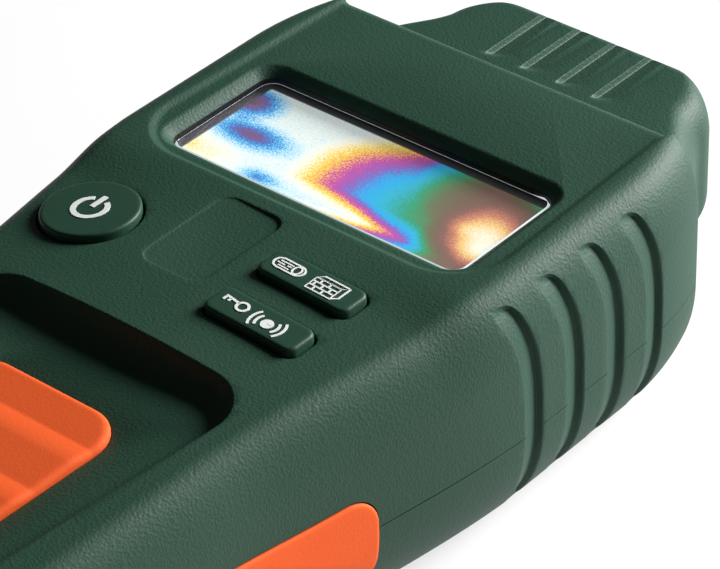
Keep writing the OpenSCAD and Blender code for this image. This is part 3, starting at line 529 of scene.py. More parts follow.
def ribTool(y, side):
    loops, low, start = [], ribs["low"], ribs["start"]
    for row, deep, drop in ribRows(y):
        high = ribs["top"] - drop
        middle, reach = (low + high) / 2, (high - low) / 2
        outer, inner = [], []
        for a in spaced(0.0, pi, ribs["levels"]):
            z = middle - reach * cos(a)
            at = row + ribLean(z)
            fade = smooth((high - z) / ribs["topFade"] + ribs["fadeFrom"])
            fade *= smooth((z - low) / ribs["lowFade"] + ribs["fadeFrom"])
            inner.append((side * (skinX(at, z) - (deep + start) * fade + start), at, z))
            outer.append((side * (skinX(at, z) + over), at, z))
        loops.append(outer + inner[::-1])
    return loft("ribTool", loops)


def ribTools():
    starts = [ribs["first"] + i * ribs["pitch"] for i in range(ribs["count"])]
    return [ribTool(y, side) for y in starts for side in (-1, 1)]


sideGrip = {
    "top": displayY - 34.0, "end": tailY + 24.0, "low": 5.5, "high": 20.0, "rise": 3.0, "riseFrom": 5.0,
    "riseOver": 40.0, "round": 4.5, "proud": 0.4, "seat": 1.3, "under": 0.05, "gap": 0.2, "edge": 0.45,
    "rows": 44, "endRows": 12, "levels": 40, "seatLevels": 22,
}


def gripHigh(y):
    below = sideGrip["top"] - sideGrip["riseFrom"] - y
    return sideGrip["high"] + sideGrip["rise"] * smooth(below / sideGrip["riseOver"])


def gripMesh(grow, deep, proud, side, levels):
    r, count = sideGrip["round"] + grow, sideGrip["rows"]
    top, end, low = sideGrip["top"] + grow, sideGrip["end"] - grow, sideGrip["low"] - grow
    ends = [(r * (1 - cos(a)), r * (1 - sin(a))) for a in quarterTurns(sideGrip["endRows"])]
    middle = spaced(end + r, top - r, count)[1:-1]
    rows = [(end + e, low + z, gripHigh(end) + grow - z) for e, z in ends]
    rows += [(y, low, gripHigh(y) + grow) for y in middle]
    rows += [(top - e, low + z, gripHigh(top) + grow - z) for e, z in reversed(ends)]
    loops = []
    for y, z0, z1 in rows:
        heights = [(z0 + z1) / 2 - (z1 - z0) / 2 * cos(a) for a in spaced(0.0, pi, levels)]
        outer = [(side * (skinX(y, z) + proud(y, z)), y, z) for z in heights]
        inner = [(side * (skinX(y, z) - deep), y, z) for z in reversed(heights)]
        loops.append(outer + inner)
    return wrapLoops(loops)


def roundInside(a, b, r):  # distance from an outline whose corner of radius r lies a and b away
    return r - hypot(r - a, r - b) if a < r and b < r else min(a, b)


def gripEdgeFall(y, z):  # the rubber's edge is rounded over
    inside = roundInside(min(z - sideGrip["low"], gripHigh(y) - z),
                         min(y - sideGrip["end"], sideGrip["top"] - y), sideGrip["round"])
    return sideGrip["proud"] - drawnIn(max(0.0, inside), sideGrip["edge"])


def seatTool(side):
    seat = gripMesh(sideGrip["gap"], sideGrip["seat"], lambda y, z: over, side, sideGrip["seatLevels"])
    return solidObject("seatTool", seat)


panel = {
    "deep": 0.8, "width": 55.0, "back": 13.0, "corner": 8.0, "headNarrow": 1.4, "narrowPast": 1.0,
    "pastHead": 6.0, "soft": 1.5, "inset": 0.5, "flat": (1.6, 0.6), "softSteps": 10, "lift": 0.12,
    "open": 0.6, "brow": 2.2, "browStart": 0.3, "browPast": 0.5, "browSteps": 12, "browTurns": 9,
    "browEnds": (0.0, 0.4, 0.8, 1.1),
}
panelZ = depth - panel["deep"]


def panelTool():
    half, low, high = panel["width"] / 2, displayY - panel["back"], headY + panel["pastHead"]
    lean = panel["headNarrow"] * (high - low) / (headY + panel["narrowPast"] - low)
    corners = [(-half, low), (half, low), (half - lean, high), (-half + lean, high)]
    soft, steps = panel["soft"], spaced(0.0, 1.0, panel["softSteps"])[1:]

    def profile(x, y):
        rise = faceZ(x, min(y, headY - body["headEdge"] - panel["inset"])) - panelZ
        rows = [(-inner, panelZ) for inner in panel["flat"]]
        rows += [(soft * t - panel["inset"], panelZ + rise * smooth(t)) for t in steps]
        return rows + [(soft, panelZ + rise + panel["lift"]), (soft + panel["open"], depth + over)]

    return profileTool("panelTool", roundedOutline(corners, panel["corner"], 1.0), profile)


def browTool():  # rounds the panel's edge at the head's end
    r, end, turns = panel["brow"], headY, quarterTurns(panel["browTurns"])[1:]
    back, front = end - r - panel["browStart"], end + panel["browPast"]
    side, count = panel["width"] / 2 - panel["headNarrow"], panel["browSteps"]
    places = spaced(-side, side, 2 * count)[1:-1]
    places += [s * (side + e) for s in (-1, 1) for e in panel["browEnds"]]
    loops = []
    for x in sorted(places):
        rise = faceZ(x, end - r - panel["inset"]) - panelZ
        top = panelZ + max(0.0, rise) * smooth(abs(x) - side)
        section = [(back, top + 0.03)]
        section += [(end - r + r * sin(a), top - r * (1 - cos(a))) for a in turns]
        section += [(front, top - r), (front, top + over), (back, top + over)]
        loops.append([(x, y, z) for y, z in section])
    return loft("browTool", loops)


window = {
    "width": 47.2, "length": 20.0, "slope": 1.4, "deep": 2.0, "upright": 0.8, "corner": 2.2,
    "land": (27.0, 12.9),
    # rounded lip: share of the slope, height over the panel
    "lip": [(0.9, -0.14), (1.02, -0.06), (1.15, -0.01), (1.3, 0.03)],
    "open": 1.5,
}
lensZ = panelZ - window["deep"]
bendZ = lensZ + window["upright"]


def windowOutline():
    corners = boxCorners((0, displayY), window["width"], window["length"])
    return roundedOutline(corners, window["corner"], 1.0, 12)


def windowTool():
    rows = [(0.0, lensZ - 1.0), (0.0, bendZ - 0.08), (0.05, bendZ + 0.04)]
    rows += [(window["slope"] * share, panelZ + rise) for share, rise in window["lip"]]
    rows.append((window["slope"] * window["open"], depth + over))
    return profileTool("windowTool", windowOutline(), rows)


recess = {"width": 43.4, "endWidth": 27.0, "end": tailY + 13.0, "corner": 6.0, "deep": 3.3, "lip": 0.4,
          "foot": 0.3, "wallSteps": 9, "lipTurns": (0.35, 0.7, 1.05, 1.35), "hollowAhead": 3.0}
hollowStepY = stepY + recess["hollowAhead"]


def taperCorners(width, endWidth, top, end):
    w, v = width / 2, endWidth / 2
    return [(-v, end), (v, end), (w, top), (-w, top)]


def recessFloor(y):
    return depth - handleDrop(y) - recess["deep"]


def recessTool():
    sweep, lip = recess["deep"] - recess["foot"], recess["lip"]

    def profile(x, y):  # hollow wall up from the floor, then a rounded lip
        floor, face = recessFloor(y), faceZ(x, y)
        high = max(recess["foot"], min(sweep, face - lip - floor))
        last = asin(max(0.0, 1 - high / sweep))
        turns = spaced(pi / 2, last, recess["wallSteps"])
        rows = [(-sweep * (cos(last) - cos(a)), floor + sweep * (1 - sin(a))) for a in turns]
        rows += [(lip * (1 - cos(a)), face - lip * (1 - sin(a))) for a in recess["lipTurns"]]
        return rows + [(lip * 1.1, face + 0.02), (lip * 1.5, face + 0.1), (lip * 2, face + over)]

    corners = taperCorners(recess["width"], recess["endWidth"], stepY, recess["end"])
    return profileTool("recessTool", roundedOutline(corners, recess["corner"], 1.0, 14), profile)


pad = {
    "top": padHigh.y, "end": padLow.y, "width": 24.0, "endWidth": 17.8, "corner": 5.0, "gap": 0.2,
    "seat": 1.3, "proud": 1.0, "groove": 0.32, "ribs": 7, "crease": 0.64, "edge": 0.8, "rows": 210,
    "endRows": 14, "halfSteps": 16,
    # edge of the seat: way out, height over the recess's floor
    "seatEdge": [(0.0, -0.15), (0.05, -0.05), (0.2, 0.02), (0.3, 2 * over)],
}


def padSeatTool():
    def profile(x, y):
        rows = [(0.0, -pad["seat"])] + pad["seatEdge"]
        return [(pad["gap"] + out, recessFloor(y) + up) for out, up in rows]

    corners = taperCorners(pad["width"], pad["endWidth"], pad["top"], pad["end"])
    return profileTool("padSeatTool", roundedOutline(corners, pad["corner"]), profile)


blank = {
    "centre": (-2.7, displayY - 24.2), "size": (10.0, 16.4), "deep": 0.28, "tilt": 0.028, "corner": 2.2,
    # way out and height, over the blank's floor and over the face
    "foot": [(-0.35, 0.0), (-0.12, 0.03), (0.0, 0.08)],
    "edge": [(0.04, -0.05), (0.12, -0.02), (0.3, 0.01), (0.5, 0.06), (0.6, over)],
}


def blankTool():
    def profile(x, y):
        face = faceZ(x, y)
        low = face - blank["deep"] - blank["tilt"] * (x - blank["centre"][0])
        foot = [(out, low + up) for out, up in blank["foot"]]
        return foot + [(out, face + up) for out, up in blank["edge"]]

    corners = boxCorners(blank["centre"], *blank["size"])
    return profileTool("blankTool", roundedOutline(corners, blank["corner"], 1.0), profile)


keys = {
    "gap": 0.3, "barCorner": 1.3, "proud": 0.9, "lug": 1.0, "lugW": 8.0, "flange": 1.0, "stem": 1.7,
    "stemLong": 2.0, "lap": 0.2, "edge": 0.45, "edgeTurns": (0.3, 0.6, 0.9, 1.2, 1.57),
    "topRings": (0.3, 0.6), "powerR": 6.4, "barSize": (14.0, 5.0),
    "holeLow": boxOf("power_key")[0].z - over,
    "places": {
        "power_key": (-18.6, displayY - 28.9), "material_key": (13.0, displayY - 24.0),
        "lock_key": (13.0, displayY - 33.5),
    },
    # edge of the holes: way out, height over the face
    "holeEdge": [(0.0, -0.3), (0.04, -0.15), (0.14, -0.04), (0.3, 0.0), (0.45, 0.04), (0.6, over)],
}


def keyOutline(node, grow=0.0):
    at = keys["places"][node]
    if node == "power_key":
        return circleOutline(at, keys["powerR"] + grow)
    wide, long = keys["barSize"]
    return roundedOutline(boxCorners(at, wide + 2 * grow, long + 2 * grow), keys["barCorner"] + grow, 0.8, 8)


def keyHoleTool(node):
    def profile(x, y):
        return [(0.0, keys["holeLow"])] + [(out, faceZ(x, y) + up) for out, up in keys["holeEdge"]]

    return profileTool("keyHoleTool", keyOutline(node, keys["gap"]), profile)


nose = {"width": 36.0, "deep": 13.6, "corner": 3.0, "z": (capLow.z + capHigh.z) / 2, "gap": 0.2}


def noseSection(width, deep, corner, step):
    outline = roundedOutline(boxCorners((0, 0), width, deep), corner, step)
    return [(x, nose["z"] + z) for x, z, nx, nz in outline]


def noseTool():
    gap = 2 * nose["gap"]
    section = noseSection(nose["width"] + gap, nose["deep"] + gap, nose["corner"], 1.2)
    return sweptTool("noseTool", section, (headY - 2 * body["wall"], headY + over))


screws = {
    "at": [(s * x, displayY + dy) for s in (-1, 1) for x, dy in ((26.0, 20.5), (20.2, -50.5))], "boss": 3.1,
    "hole": 1.5, "holeDeep": 10.0, "free": 0.2, "head": 3.0, "sink": 4.5,
    "posts": [(s * x, displayY + dy) for s in (-1, 1) for x, dy in ((26.0, -16.5), (22.0, -40.0))],
    "post": 2.3, "postHole": 1.1, "postHoleDeep": 6.0, "boardZ": 24.0,
}


def hollowTop(y, d):
    return topZ(y, d) if y > hollowStepY else min(topZ(y, d), recessFloor(y) - pad["seat"] - body["wall"])


def frontHollow():
    d = body["wall"]
    landHalf, landLong = window["land"]
    places = [y for y in lengthStations(d, False) if not stepY - 1 < y < hollowStepY + 1]
    places += [hollowStepY - 0.05, hollowStepY + 0.05]
    loops = [frontLoop(y, d, hollowTop(y, d), seamZ - 1, False) for y in sorted(places)]
    land = boxTool("land", (-landHalf, displayY - landLong, lensZ), (landHalf, displayY + landLong, depth))
    bosses = rodTools("boss", screws["at"], screws["boss"], seamZ, depth)
    posts = rodTools("post", screws["posts"], screws["post"], screws["boardZ"], depth)
    return carve(loft("frontHollow", loops), [land] + bosses + posts)


def makeFrontShell():
    shell = loft("frontShell", [frontLoop(y, d, topZ(y, d), seamZ, True) for y, d in outerStations()])
    tools = ribTools() + [frontHollow(), panelTool(), browTool(), windowTool(), recessTool(), padSeatTool(),
                          blankTool(), seatTool(-1), seatTool(1), noseTool()]
    tools += [keyHoleTool(node) for node in keys["places"]]
    tools += rodTools("hole", screws["at"], screws["hole"], seamZ - 1, seamZ + screws["holeDeep"])
    tools += rodTools("hole", screws["posts"], screws["postHole"], screws["boardZ"] - 1,
                      screws["boardZ"] + screws["postHoleDeep"])
    carve(shell, tools)
    finishPiece(shell, "body", "shellGreen", ["front_shell"])


battery = {"end": tailY + 17.0, "gap": 0.6, "width": 26.5, "bayLength": 56.6, "wall": 1.2,
           "rail": 1.6, "railT": 1.4}
door = {
    "half": doorHigh.x, "lip": 1.2, "thick": 2.0, "in": 0.25, "gap": 0.2, "top": doorHigh.y,
    "foamHalf": 10.0, "foamT": 0.6, "foamGap": 0.2, "grooves": 5, "grooveBack": 9.0, "groovePitch": 1.6,
    "grooveHalf": 7.0, "grooveWide": 0.8, "grooveDeep": 0.4,
}


def doorSection(grow):
    neck, lip, half = door["half"] - door["lip"] + grow, door["half"] + grow, door["thick"] / 2
    low = -2 * door["in"] - (1 if grow else 0)
    right = [(neck, low), (neck, half - grow), (lip, half - grow), (lip, door["thick"] + grow)]
    return [(x, door["in"] + z) for x, z in right] + [(-x, door["in"] + z) for x, z in reversed(right)]


def doorTool(name, grow):
    return sweptTool(name, doorSection(grow), (tailY - 1, door["top"] + grow))


def bayTool(name, grow, low, high):
    half = battery["width"] / 2 + battery["gap"] + grow
    end = battery["end"] - grow
    return boxTool(name, (-half, end, low), (half, end + battery["bayLength"] + 2 * grow, high))


def rearHollow():
    d, seam = body["wall"], seamZ - door["gap"]
    loops = [rearLoop(y, d, seamZ + 1, False) for y in lengthStations(d, False)]
    rail, railTop = door["half"] + battery["rail"], door["in"] + door["thick"] + battery["railT"]
    kept = [bayTool("bayWall", battery["wall"], -over, seam),
            boxTool("rails", (-rail, tailY, -over), (rail, door["top"] + battery["rail"], railTop))]
    kept += rodTools("tube", screws["at"], screws["boss"], -over, seam)
    return carve(loft("rearHollow", loops), kept)


def makeRearShell():
    shell = loft("rearShell", [rearLoop(y, d, seamZ, True) for y, d in outerStations()])
    foam = door["foamHalf"] + door["gap"]
    foamTop = door["in"] + door["thick"] + door["foamT"] + door["foamGap"]
    tools = ribTools() + [
        rearHollow(), bayTool("bay", 0.0, -over, depth), doorTool("doorSlot", door["gap"]),
        seatTool(-1), seatTool(1), noseTool(),
        boxTool("foamRelief", (-foam, tailY - 1, door["in"]), (foam, battery["end"] + 1, foamTop))]
    tools += rodTools("hole", screws["at"], screws["hole"] + screws["free"], -over, depth)
    tools += rodTools("sink", screws["at"], screws["head"], -over, screws["sink"])
    carve(shell, tools)
    finishPiece(shell, "body", "shellGreen", ["rear_shell"])


makeFrontShell()
makeRearShell()


# cap over the pins
capStart, capEnd = capLow.y, capHigh.y
cap = {
    "half": capHigh.x, "halfDeep": (capHigh.z - capLow.z) / 2,
    "taper": 2.6, "corner": 7.0, "edge": 2.2, "sideW": 4.5, "sideH": 6.0, "wall": 2.2, "mouth": 0.5,
    "mouthTurns": (0.0, 0.4, 0.8, 1.2), "flare": 4.0, "flareFrom": capEnd - 7.0,
    "flareTo": capEnd - 18.0, "topSteps": 10, "sideSteps": 14, "straightSteps": 24, "endSteps": 26,
    "endWall": 2.6, "hollowRound": 3.4, "hollowTaper": 4.0,
}
grooves = {
    "count": 4, "pitch": 5.9, "aside": 0.2, "wide": 3.5, "deep": 0.8, "start": headY + 6.4, "run": 2.6,
    "steps": 10, "tip": 0.8, "tipLift": 0.06, "quick": 1.15, "wall": 0.4, "wallFoot": 0.16, "wallSteps": 8,
    "floor": [(0.75, 0.22), (0.45, 0.52)], "toe": 0.42, "toeDeep": 0.9, "open": 1.5,
}


def capHalf(y):
    along = (y - capStart) / (capEnd - capStart)
    flare = cap["flare"] * smooth((cap["flareFrom"] - y) / (cap["flareFrom"] - cap["flareTo"]))
    return cap["half"] - cap["taper"] * along + flare - drawnIn(capEnd - y, cap["corner"])


def capLoop(y, inset):
    w, h = capHalf(y) - inset, cap["halfDeep"] - drawnIn(capEnd - y, cap["edge"]) - inset
    flat, count = w - cap["sideW"], cap["topSteps"]
    quarter = [(x, h) for x in spaced(0.0, flat, count)[:-1]]
    turns = quarterTurns(cap["sideSteps"])
    quarter += [(flat + cap["sideW"] * sin(a), h - cap["sideH"] * (1 - cos(a))) for a in turns]
    half = quarter + [(x, -z) for x, z in reversed(quarter)]
    ring = half + [(-x, z) for x, z in reversed(half) if x > 1e-9]
    return [(x, y, nose["z"] + z) for x, z in ring]


def capStations():
    turns = quarterTurns(cap["endSteps"])
    straight = spaced(capStart, capEnd - cap["corner"], cap["straightSteps"])[1:-1]
    r = cap["mouth"]
    mouth = [(capStart + r * (1 - cos(a)), r * (1 - sin(a))) for a in cap["mouthTurns"]]
    edges = sorted({capEnd - cap["corner"] * (1 - sin(a)) for a in turns}
                   | {capEnd - cap["edge"] * (1 - sin(a)) for a in turns[::3]})
    return mouth + [(y, 0.0) for y in straight + edges]


def grooveTool(x, face):
    loops = []
    for k in range(grooves["steps"] + 2):
        t = min(1.0, k / grooves["steps"])
        y = capEnd + over if k > grooves["steps"] else grooves["start"] + grooves["run"] * t
        deep = grooves["deep"] * smooth(t * grooves["quick"]) - grooves["tipLift"] * (1 - t)
        wide = grooves["tip"] + (grooves["wide"] - grooves["tip"]) * sqrt(t)
        high = grooves["open"]
        section = [(-0.7, high), (wide + 0.6, high), (wide + 0.3, 0.06), (wide, 0.02)]
        section += [(wide * share, -deep * sunk) for share, sunk in grooves["floor"]]
        section.append((grooves["toe"], -deep * grooves["toeDeep"]))
        for u in range(grooves["wallSteps"] + 1):
            up = u / grooves["wallSteps"]
            section.append((grooves["wallFoot"] - grooves["wall"] * up, -deep * smooth(1 - up) + 0.004 * u))
        loops.append([(x + a, y, nose["z"] + face * (cap["halfDeep"] + b)) for a, b in section])
    return loft("grooveTool", loops)


def capHollow():
    end = capEnd - cap["endWall"]
    inner = end - cap["hollowTaper"]
    high = 2 * (cap["halfDeep"] - cap["wall"]) - 0.6
    loops = []
    for y, half in ((capStart - 1, cap["half"] - cap["wall"] - 1), (inner, capHalf(inner) - cap["wall"]),
                    (end, capHalf(end) - cap["wall"] - 0.35)):
        loops.append([(x, y, z) for x, z in noseSection(2 * half, high, cap["hollowRound"], 99)])
    return loft("capHollow", loops)


def makeCap():
    hood = loft("pinCap", [capLoop(y, inset) for y, inset in capStations()])
    middle = (grooves["count"] - 1) / 2
    places = [(i - middle) * grooves["pitch"] - grooves["aside"] for i in range(grooves["count"])]
    carve(hood, [capHollow()] + [grooveTool(x, face) for x in places for face in (1, -1)])
    finishPiece(hood, "cap", "shellGreen", ["cap"])


makeCap()


# rubber grips
def makeSideGrip(name, side, node):
    deep = sideGrip["seat"] - sideGrip["under"]
    grip = solidObject(name, gripMesh(0.0, deep, gripEdgeFall, side, sideGrip["levels"]))
    finishPiece(grip, "body", "gripOrange", [node])


def padTop(y):  # each rib falls gently to a crease and rises again from it
    along = pad["ribs"] * (pad["top"] - y) / (pad["top"] - pad["end"]) % 1.0
    fall, rise = along / pad["crease"], (along - pad["crease"]) / (1 - pad["crease"])
    return pad["proud"] - pad["groove"] * (fall if along < pad["crease"] else 1 - sin(pi / 2 * rise))


def padHalf(y):
    along = (y - pad["end"]) / (pad["top"] - pad["end"])
    return (pad["endWidth"] + (pad["width"] - pad["endWidth"]) * along) / 2


def padLoop(y):
    end, steps = min(y - pad["end"], pad["top"] - y), pad["halfSteps"]
    reach = padHalf(y) - drawnIn(end, pad["corner"])
    low, crest = recessFloor(y) - pad["seat"], recessFloor(y) + padTop(y)
    top = []
    for a in spaced(-pi / 2, pi / 2, 2 * steps):
        x = reach * sin(a)
        inside = roundInside(padHalf(y) - abs(x), end, pad["corner"])
        top.append((x, y, crest - drawnIn(max(0.0, inside), pad["edge"])))
    return [(-reach, y, low)] + top + [(reach, y, low)]


def makePad():
    ends = [pad["corner"] * (1 - cos(a)) for a in quarterTurns(pad["endRows"])]
    first, last = pad["end"] + pad["corner"], pad["top"] - pad["corner"]
    rows = [pad["end"] + e for e in ends]
    rows += spaced(first, last, pad["rows"])[1:-1]
    rows += [pad["top"] - e for e in reversed(ends)]
    rubber = loft("gripPad", [padLoop(y) for y in rows])
    finishPiece(rubber, "body", "gripOrange", ["grip_pad"])


makeSideGrip("leftGrip", -1, "left_grip")
makeSideGrip("rightGrip", 1, "right_grip")
makePad()


# keys and their printed signs
def makeKey(name, node):
    at, low = keys["places"][node], boxOf(node)[0].z
    tilt = tan(faceTilt(*at))
    edge, crest = keys["edge"], faceZ(*at) + keys["proud"]
    flangeLow = low + keys["stemLong"]
    flangeHigh = flangeLow + keys["flange"]
    rows = [(0.0, flangeLow), (0.0, crest - edge)]
    rows += [(-edge * (1 - cos(a)), crest - edge * (1 - sin(a))) for a in keys["edgeTurns"]]
    rows += [(-edge - ring, crest) for ring in keys["topRings"]]
    form = profileMesh(keyOutline(node), rows)
    for vert in form.verts:
        if vert.co.z > flangeHigh:
            vert.co.z -= tilt * (vert.co.x - at[0])
    block = solidObject(name, form)
    if node == "power_key":
        half, reach = keys["lugW"] / 2, keys["powerR"] + keys["lug"]
        lugs = boxTool("lugs", (at[0] - half, at[1] - reach, flangeLow),
                       (at[0] + half, at[1] + reach, flangeHigh))
    else:
        lugs = profileTool("lugs", keyOutline(node, keys["lug"]), [(0.0, flangeLow), (0.0, flangeHigh)])
    carve(block, rodTools("stem", [at], keys["stem"], low, flangeLow + keys["lap"]) + [lugs], "UNION")
    finishPiece(block, node, "keyGreen", [node])


makeKey("powerKey", "power_key")
makeKey("materialKey", "material_key")
makeKey("lockKey", "lock_key")

signs = {"thick": 0.07, "lift": 0.01}


def strokeSign(bm, points, wide, closed):  # a flat ribbon along points on the key's face
    left, right = [], []
    count = len(points)
    for i, p in enumerate(points):
        before = points[(i - 1) % count] if closed or i else p
        after = points[(i + 1) % count] if closed or i < count - 1 else p
        along = Vector((after[0] - before[0], after[1] - before[1])).normalized()
        across = Vector((-along.y, along.x)) * wide / 2
        left.append((p[0] + across.x, p[1] + across.y, 0.0))
        right.append((p[0] - across.x, p[1] - across.y, 0.0))
    if closed:
        left.append(left[0])
        right.append(right[0])
    ribbon = wrapLoops([left, right], closed=False, ends=False)
    mesh = bpy.data.meshes.new("ribbon")
    ribbon.to_mesh(mesh)
    ribbon.free()
    bm.from_mesh(mesh)
    bpy.data.meshes.remove(mesh)


def arcPoints(centre, radius, start, end, steps=24, squash=1.0):
    turns = [radians(a) for a in spaced(start, end, steps)]
    return [(centre[0] + radius * cos(a), centre[1] + squash * radius * sin(a)) for a in turns]


def makeSign(name, node, strokes):
    bm = bmesh.new()
    for points, wide, closed in strokes:
        strokeSign(bm, points, wide, closed)
    bmesh.ops.recalc_face_normals(bm, faces=bm.faces)
    for face in bm.faces:
        if face.normal.z < 0:
            face.normal_flip()
    made = bmesh.ops.extrude_face_region(bm, geom=bm.faces[:])
    raised = [g for g in made["geom"] if isinstance(g, bmesh.types.BMVert)]
    bmesh.ops.translate(bm, vec=(0, 0, signs["thick"]), verts=raised)
    bmesh.ops.recalc_face_normals(bm, faces=bm.faces)
    at = keys["places"][node]
    crest = faceZ(*at) + keys["proud"] + signs["lift"]
    place = Matrix.Translation((*at, crest)) @ Matrix.Rotation(faceTilt(*at), 4, "Y")
    bmesh.ops.transform(bm, matrix=place, verts=bm.verts)
    finishPiece(solidObject(name, bm), node, "signWhite")


# strokes: points in millimetres about the key's middle, width of the line, closed or not
powerSign = [(arcPoints((0, 0), 2.15, 118, 422, 40), 0.72, False), ([(0, 0.25), (0, 2.9)], 0.72, False)]
makeSign("powerSign", "power_key", powerSign)

logSign = [(arcPoints((-4.9, 0.1), 0.95, 90, 270) + arcPoints((-2.3, 0.1), 0.95, 270, 450), 0.26, True),
           (arcPoints((-2.4, 0.1), 0.55, 0, 360, 20, 1.35), 0.24, True)]
logSign += [([(x, z), (end, z)], 0.2, False) for x, end, z in ((-5.2, -3.2, 0.5), (-5.4, -4.3, 0.05),
                                                               (-3.9, -3.3, 0.1), (-5.0, -3.4, -0.4))]
brickSign = [([(0.2, -1.55), (4.0, -1.55), (4.0, 0.75), (0.2, 0.75)], 0.24, True),
             ([(0.2, 0.75), (1.0, 1.45), (4.8, 1.45), (4.0, 0.75)], 0.24, True),
             ([(4.0, -1.55), (4.8, -0.85), (4.8, 1.45)], 0.24, False)]
brickSign += [([(0.2, z), (4.0, z)], 0.22, False) for z in (-0.78, 0.0)]
for z, joints in ((-1.55, (1.2, 2.5)), (-0.78, (0.7, 1.9, 3.1)), (0.0, (1.2, 2.5))):
    brickSign += [([(x, z), (x, z + 0.77)], 0.22, False) for x in joints]
makeSign("materialSign", "material_key", logSign + brickSign)

keySign = [(arcPoints((-2.7, 0.2), 0.78, 0, 360, 24), 0.36, True),
           ([(-5.6, 0.75), (-3.35, 0.45)], 0.36, False),
           ([(-5.4, 0.7), (-5.5, -0.1)], 0.32, False), ([(-4.7, 0.6), (-4.8, 0.0)], 0.32, False)]
buzzMiddle = (1.6, -0.35)
buzzSign = [(arcPoints(buzzMiddle, 0.45, 0, 360, 20), 0.8, True)]
for r, a in ((1.55, 0), (1.55, 180), (2.35, 0), (2.35, 180)):
    buzzSign.append((arcPoints(buzzMiddle, r, a - 38, a + 38, 12), 0.34, False))
makeSign("lockSign", "lock_key", keySign + buzzSign)


# display
# edge, glint share and least shape the painted glint ring on the lens's edge; chamfer sets the lens's chamfer
# and the ring's width
lens = {"flange": 1.6, "gap": 0.1, "bevel": 0.1, "raised": 0.25, "chamfer": 0.35, "edge": 0.62,
        "glintFrom": 0.82, "glintOver": 0.12, "least": 0.06}
display = {"corner": 0.4, "bevel": 0.1}


def makeLens():  # stepped plate: its flange lies under the shell, its face stands in the opening
    low, high, gap, flange = lensLow.z, lensHigh.z, lens["gap"], lens["flange"]
    rows = [(flange - lens["bevel"], low), (flange, low + lens["bevel"]), (flange, high), (-gap, high),
            (-gap - lens["chamfer"], high + lens["raised"])]
    plate = profileTool("windowLens", windowOutline(), rows)
    finishPiece(plate, "body", "clearLens", ["window_lens"])


def glintShare(x, y):  # painted highlight: the glint strip is wide and raised at the near side and the right, where the edge shows bright, and thin elsewhere
    out = max(2 * x / window["width"], 2 * (displayY - y) / window["length"])
    return lens["least"] + (1 - lens["least"]) * smooth((out - lens["glintFrom"]) / lens["glintOver"])


def makeRing(name, profile, finish):
    ring = solidObject(name, profileMesh(windowOutline(), profile, ends=False))
    finishPiece(ring, "body", finish)


def makeLensGlintAndGapShade():  # painted highlight on the lens's chamfer, and painted shade: a black ring on the upright wall around the lens
    gap, high = lens["gap"], lensHigh.z

    # painted highlight: a pale glowing strip over the lens's chamfer
    def chamfer(x, y):
        inner, top = gap + lens["chamfer"] * glintShare(x, y), high + lens["edge"] * glintShare(x, y)
        return [(-gap, high + 0.01), (-gap + 0.01, high + 0.02), (-inner, top + 0.02), (-inner - 0.02, top),
                (-gap, high + 0.01)]

    makeRing("paintedLensGlintRing", chamfer, "lensEdgePaintedGlint")
    # painted shade: a black ring lining the upright wall, where the gap around the lens lies in shade
    gapShade = [(0.03, high), (-0.04, high), (-0.04, bendZ - 0.05), (0.03, bendZ), (0.03, high)]
    makeRing("paintedGapShadeRing", gapShade, "innerBlack")


def makeDisplay():
    corners = boxCorners((0, displayY), film["width"], film["length"])
    outline = roundedOutline(corners, display["corner"], 2.0, 4)
    low, high, bevel = glassLow.z, glassHigh.z, display["bevel"]
    rows = [(-bevel, low), (0.0, low + bevel), (0.0, high - bevel), (-bevel, high)]
    glass = profileTool("displayGlass", outline, rows)
    finishPiece(glass, "body", "displayFilm", ["display_glass"])


makeLens()
makeLensGlintAndGapShade()
makeDisplay()


# battery door
def makeDoor():
    loops = [rearLoop(y, 0.0, seamZ, True) for y in lengthStations(0.0, True) if y < door["top"] + over]
    skin = loft("batteryDoor", loops)
    carve(skin, [doorTool("slab", 0.0)], "INTERSECT")
    half, high = door["grooveHalf"], door["in"] + door["grooveDeep"]
    starts = [door["top"] - door["grooveBack"] + i * door["groovePitch"] for i in range(door["grooves"])]
    carve(skin, [boxTool("groove", (-half, y, -over), (half, y + door["grooveWide"], high)) for y in starts])
    finishPiece(skin, "battery_door", "shellGreen", ["battery_door"])


makeDoor()

# carried-over pieces keep their shape and get a finish
nodeFinishes = {
    "innerBlack": ("nose_block", "buzzer", "key_switches", "board_chips", "battery_clip"),
    "socketBrass": ("pin_sockets",), "pinSteel": ("electrode_pins",),
    "screwSteel": ("case_screws", "board_screws"), "leadWhite": ("pin_leads", "battery_leads"),
    "frameGrey": ("display_frame",), "stripRubber": ("display_strips",), "boardGreen": ("circuit_board",),
    "batteryCase": ("battery",), "foamGrey": ("battery_pad",),
}
for finish, nodes in nodeFinishes.items():
    for place in [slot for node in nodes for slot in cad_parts[node].material_slots]:
        place.material = finishes[finish]
print("finishes set on", sum(len(nodes) for nodes in nodeFinishes.values()), "nodes")

# studio
studio = {"floor": 60.0, "below": 0.0002, "white": 0.94, "glow": 0.7,
          "keyFrom": (0.275, 0.62, 0.315), "keyPower": 12.7, "keySize": 0.36,
          "horizon": 0.25, "zenith": 0.045, "horizonTop": 0.02, "zenithFrom": 0.14}


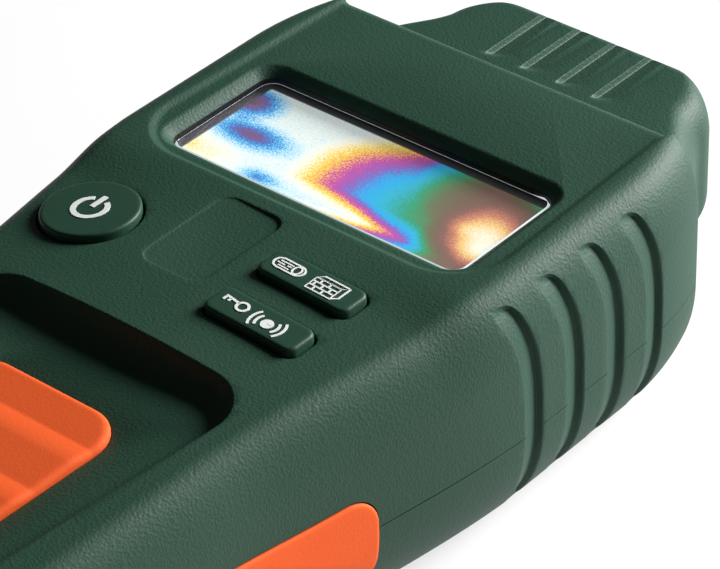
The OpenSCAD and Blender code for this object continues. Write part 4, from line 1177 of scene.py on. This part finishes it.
def makeFloor():  # white to the camera and in mirrors, and it keeps the object's shadow
    bm = bmesh.new()
    bmesh.ops.create_grid(bm, x_segments=2, y_segments=2, size=studio["floor"] / 2)
    floor = solidObject("studioFloor", bm)
    floor.location.z = cadLow.z - studio["below"]
    material, tree, shader = newMaterial("floorWhite")
    white = (studio["white"],) * 3 + (1.0,)
    fillSockets(shader, {"Base Color": white, "Roughness": 0.9, "Specular IOR Level": 0.1})
    glow = addNode(tree, "Emission", {"Strength": 1.0})
    rays = addNode(tree, "LightPath", {})
    mirrors = {0: rays["Is Glossy Ray"], 1: rays["Is Transmission Ray"]}
    mirrored = addNode(tree, "Math", mirrors, operation="MAXIMUM")
    seen = addNode(tree, "Math", {0: rays["Is Camera Ray"], 1: mirrored["Value"]}, operation="MAXIMUM")
    share = addNode(tree, "Math", {0: seen["Value"], 1: studio["glow"]}, operation="MULTIPLY")
    faces = {"Fac": share["Value"], 1: shader.outputs["BSDF"], 2: glow["Emission"]}
    mixed = addNode(tree, "MixShader", faces)
    fillSockets(tree.nodes["Material Output"], {"Surface": mixed["Shader"]})
    floor.data.materials.append(material)


def makeKeyLight():
    lamp = bpy.data.lights.new("keyLight", "AREA")
    lamp.shape = "DISK"
    lamp.size = studio["keySize"]
    lamp.energy = studio["keyPower"]
    holder = bpy.data.objects.new("keyLight", lamp)
    holder.location = studio["keyFrom"]
    holder.rotation_euler = Vector(studio["keyFrom"]).to_track_quat("Z", "Y").to_euler()
    scene.collection.objects.link(holder)


def makeWorld():  # pale at the horizon and dark overhead
    world = bpy.data.worlds.new("studioWorld")
    world.use_nodes = True
    scene.world = world
    tree = world.node_tree
    parts = addNode(tree, "SeparateXYZ", {"Vector": addNode(tree, "TexCoord", {})["Generated"]})
    heights = {"Value": parts["Z"], "From Min": studio["horizonTop"], "From Max": studio["zenithFrom"],
               "To Min": studio["horizon"], "To Max": studio["zenith"]}
    fade = addNode(tree, "MapRange", heights, interpolation_type="SMOOTHSTEP")
    fillSockets(tree.nodes["Background"], {"Color": (1, 1, 1, 1), "Strength": fade["Result"]})


makeFloor()
makeKeyLight()
makeWorld()
print("studio lit")

# camera, solved from the photograph for a frame 720 pixels wide
photo = {"eye": (0.24051, -0.22925, 0.27930), "azimuth": 41.339, "elevation": 35.764, "roll": -2.0,
         "lens": 176.0, "sensor": 36.0, "near": 0.01}


def makeCamera():
    az, el, roll = (radians(photo[k]) for k in ("azimuth", "elevation", "roll"))
    back = Vector((sin(az) * cos(el), -cos(az) * cos(el), sin(el)))
    right = Vector((cos(az), sin(az), 0.0))
    up = right.cross(-back)
    turnedRight = right * cos(roll) + up * sin(roll)
    turnedUp = -right * sin(roll) + up * cos(roll)
    lensData = bpy.data.cameras.new("photoCamera")
    lensData.lens = photo["lens"]
    lensData.sensor_width = photo["sensor"]
    lensData.sensor_fit = "HORIZONTAL"
    lensData.clip_start = photo["near"]
    camera = bpy.data.objects.new("photoCamera", lensData)
    axes = Matrix((turnedRight, turnedUp, back)).transposed().to_4x4()
    camera.matrix_world = Matrix.Translation(photo["eye"]) @ axes
    scene.collection.objects.link(camera)
    scene.camera = camera


makeCamera()
bpy.context.scene.view_settings.view_transform = "Standard"
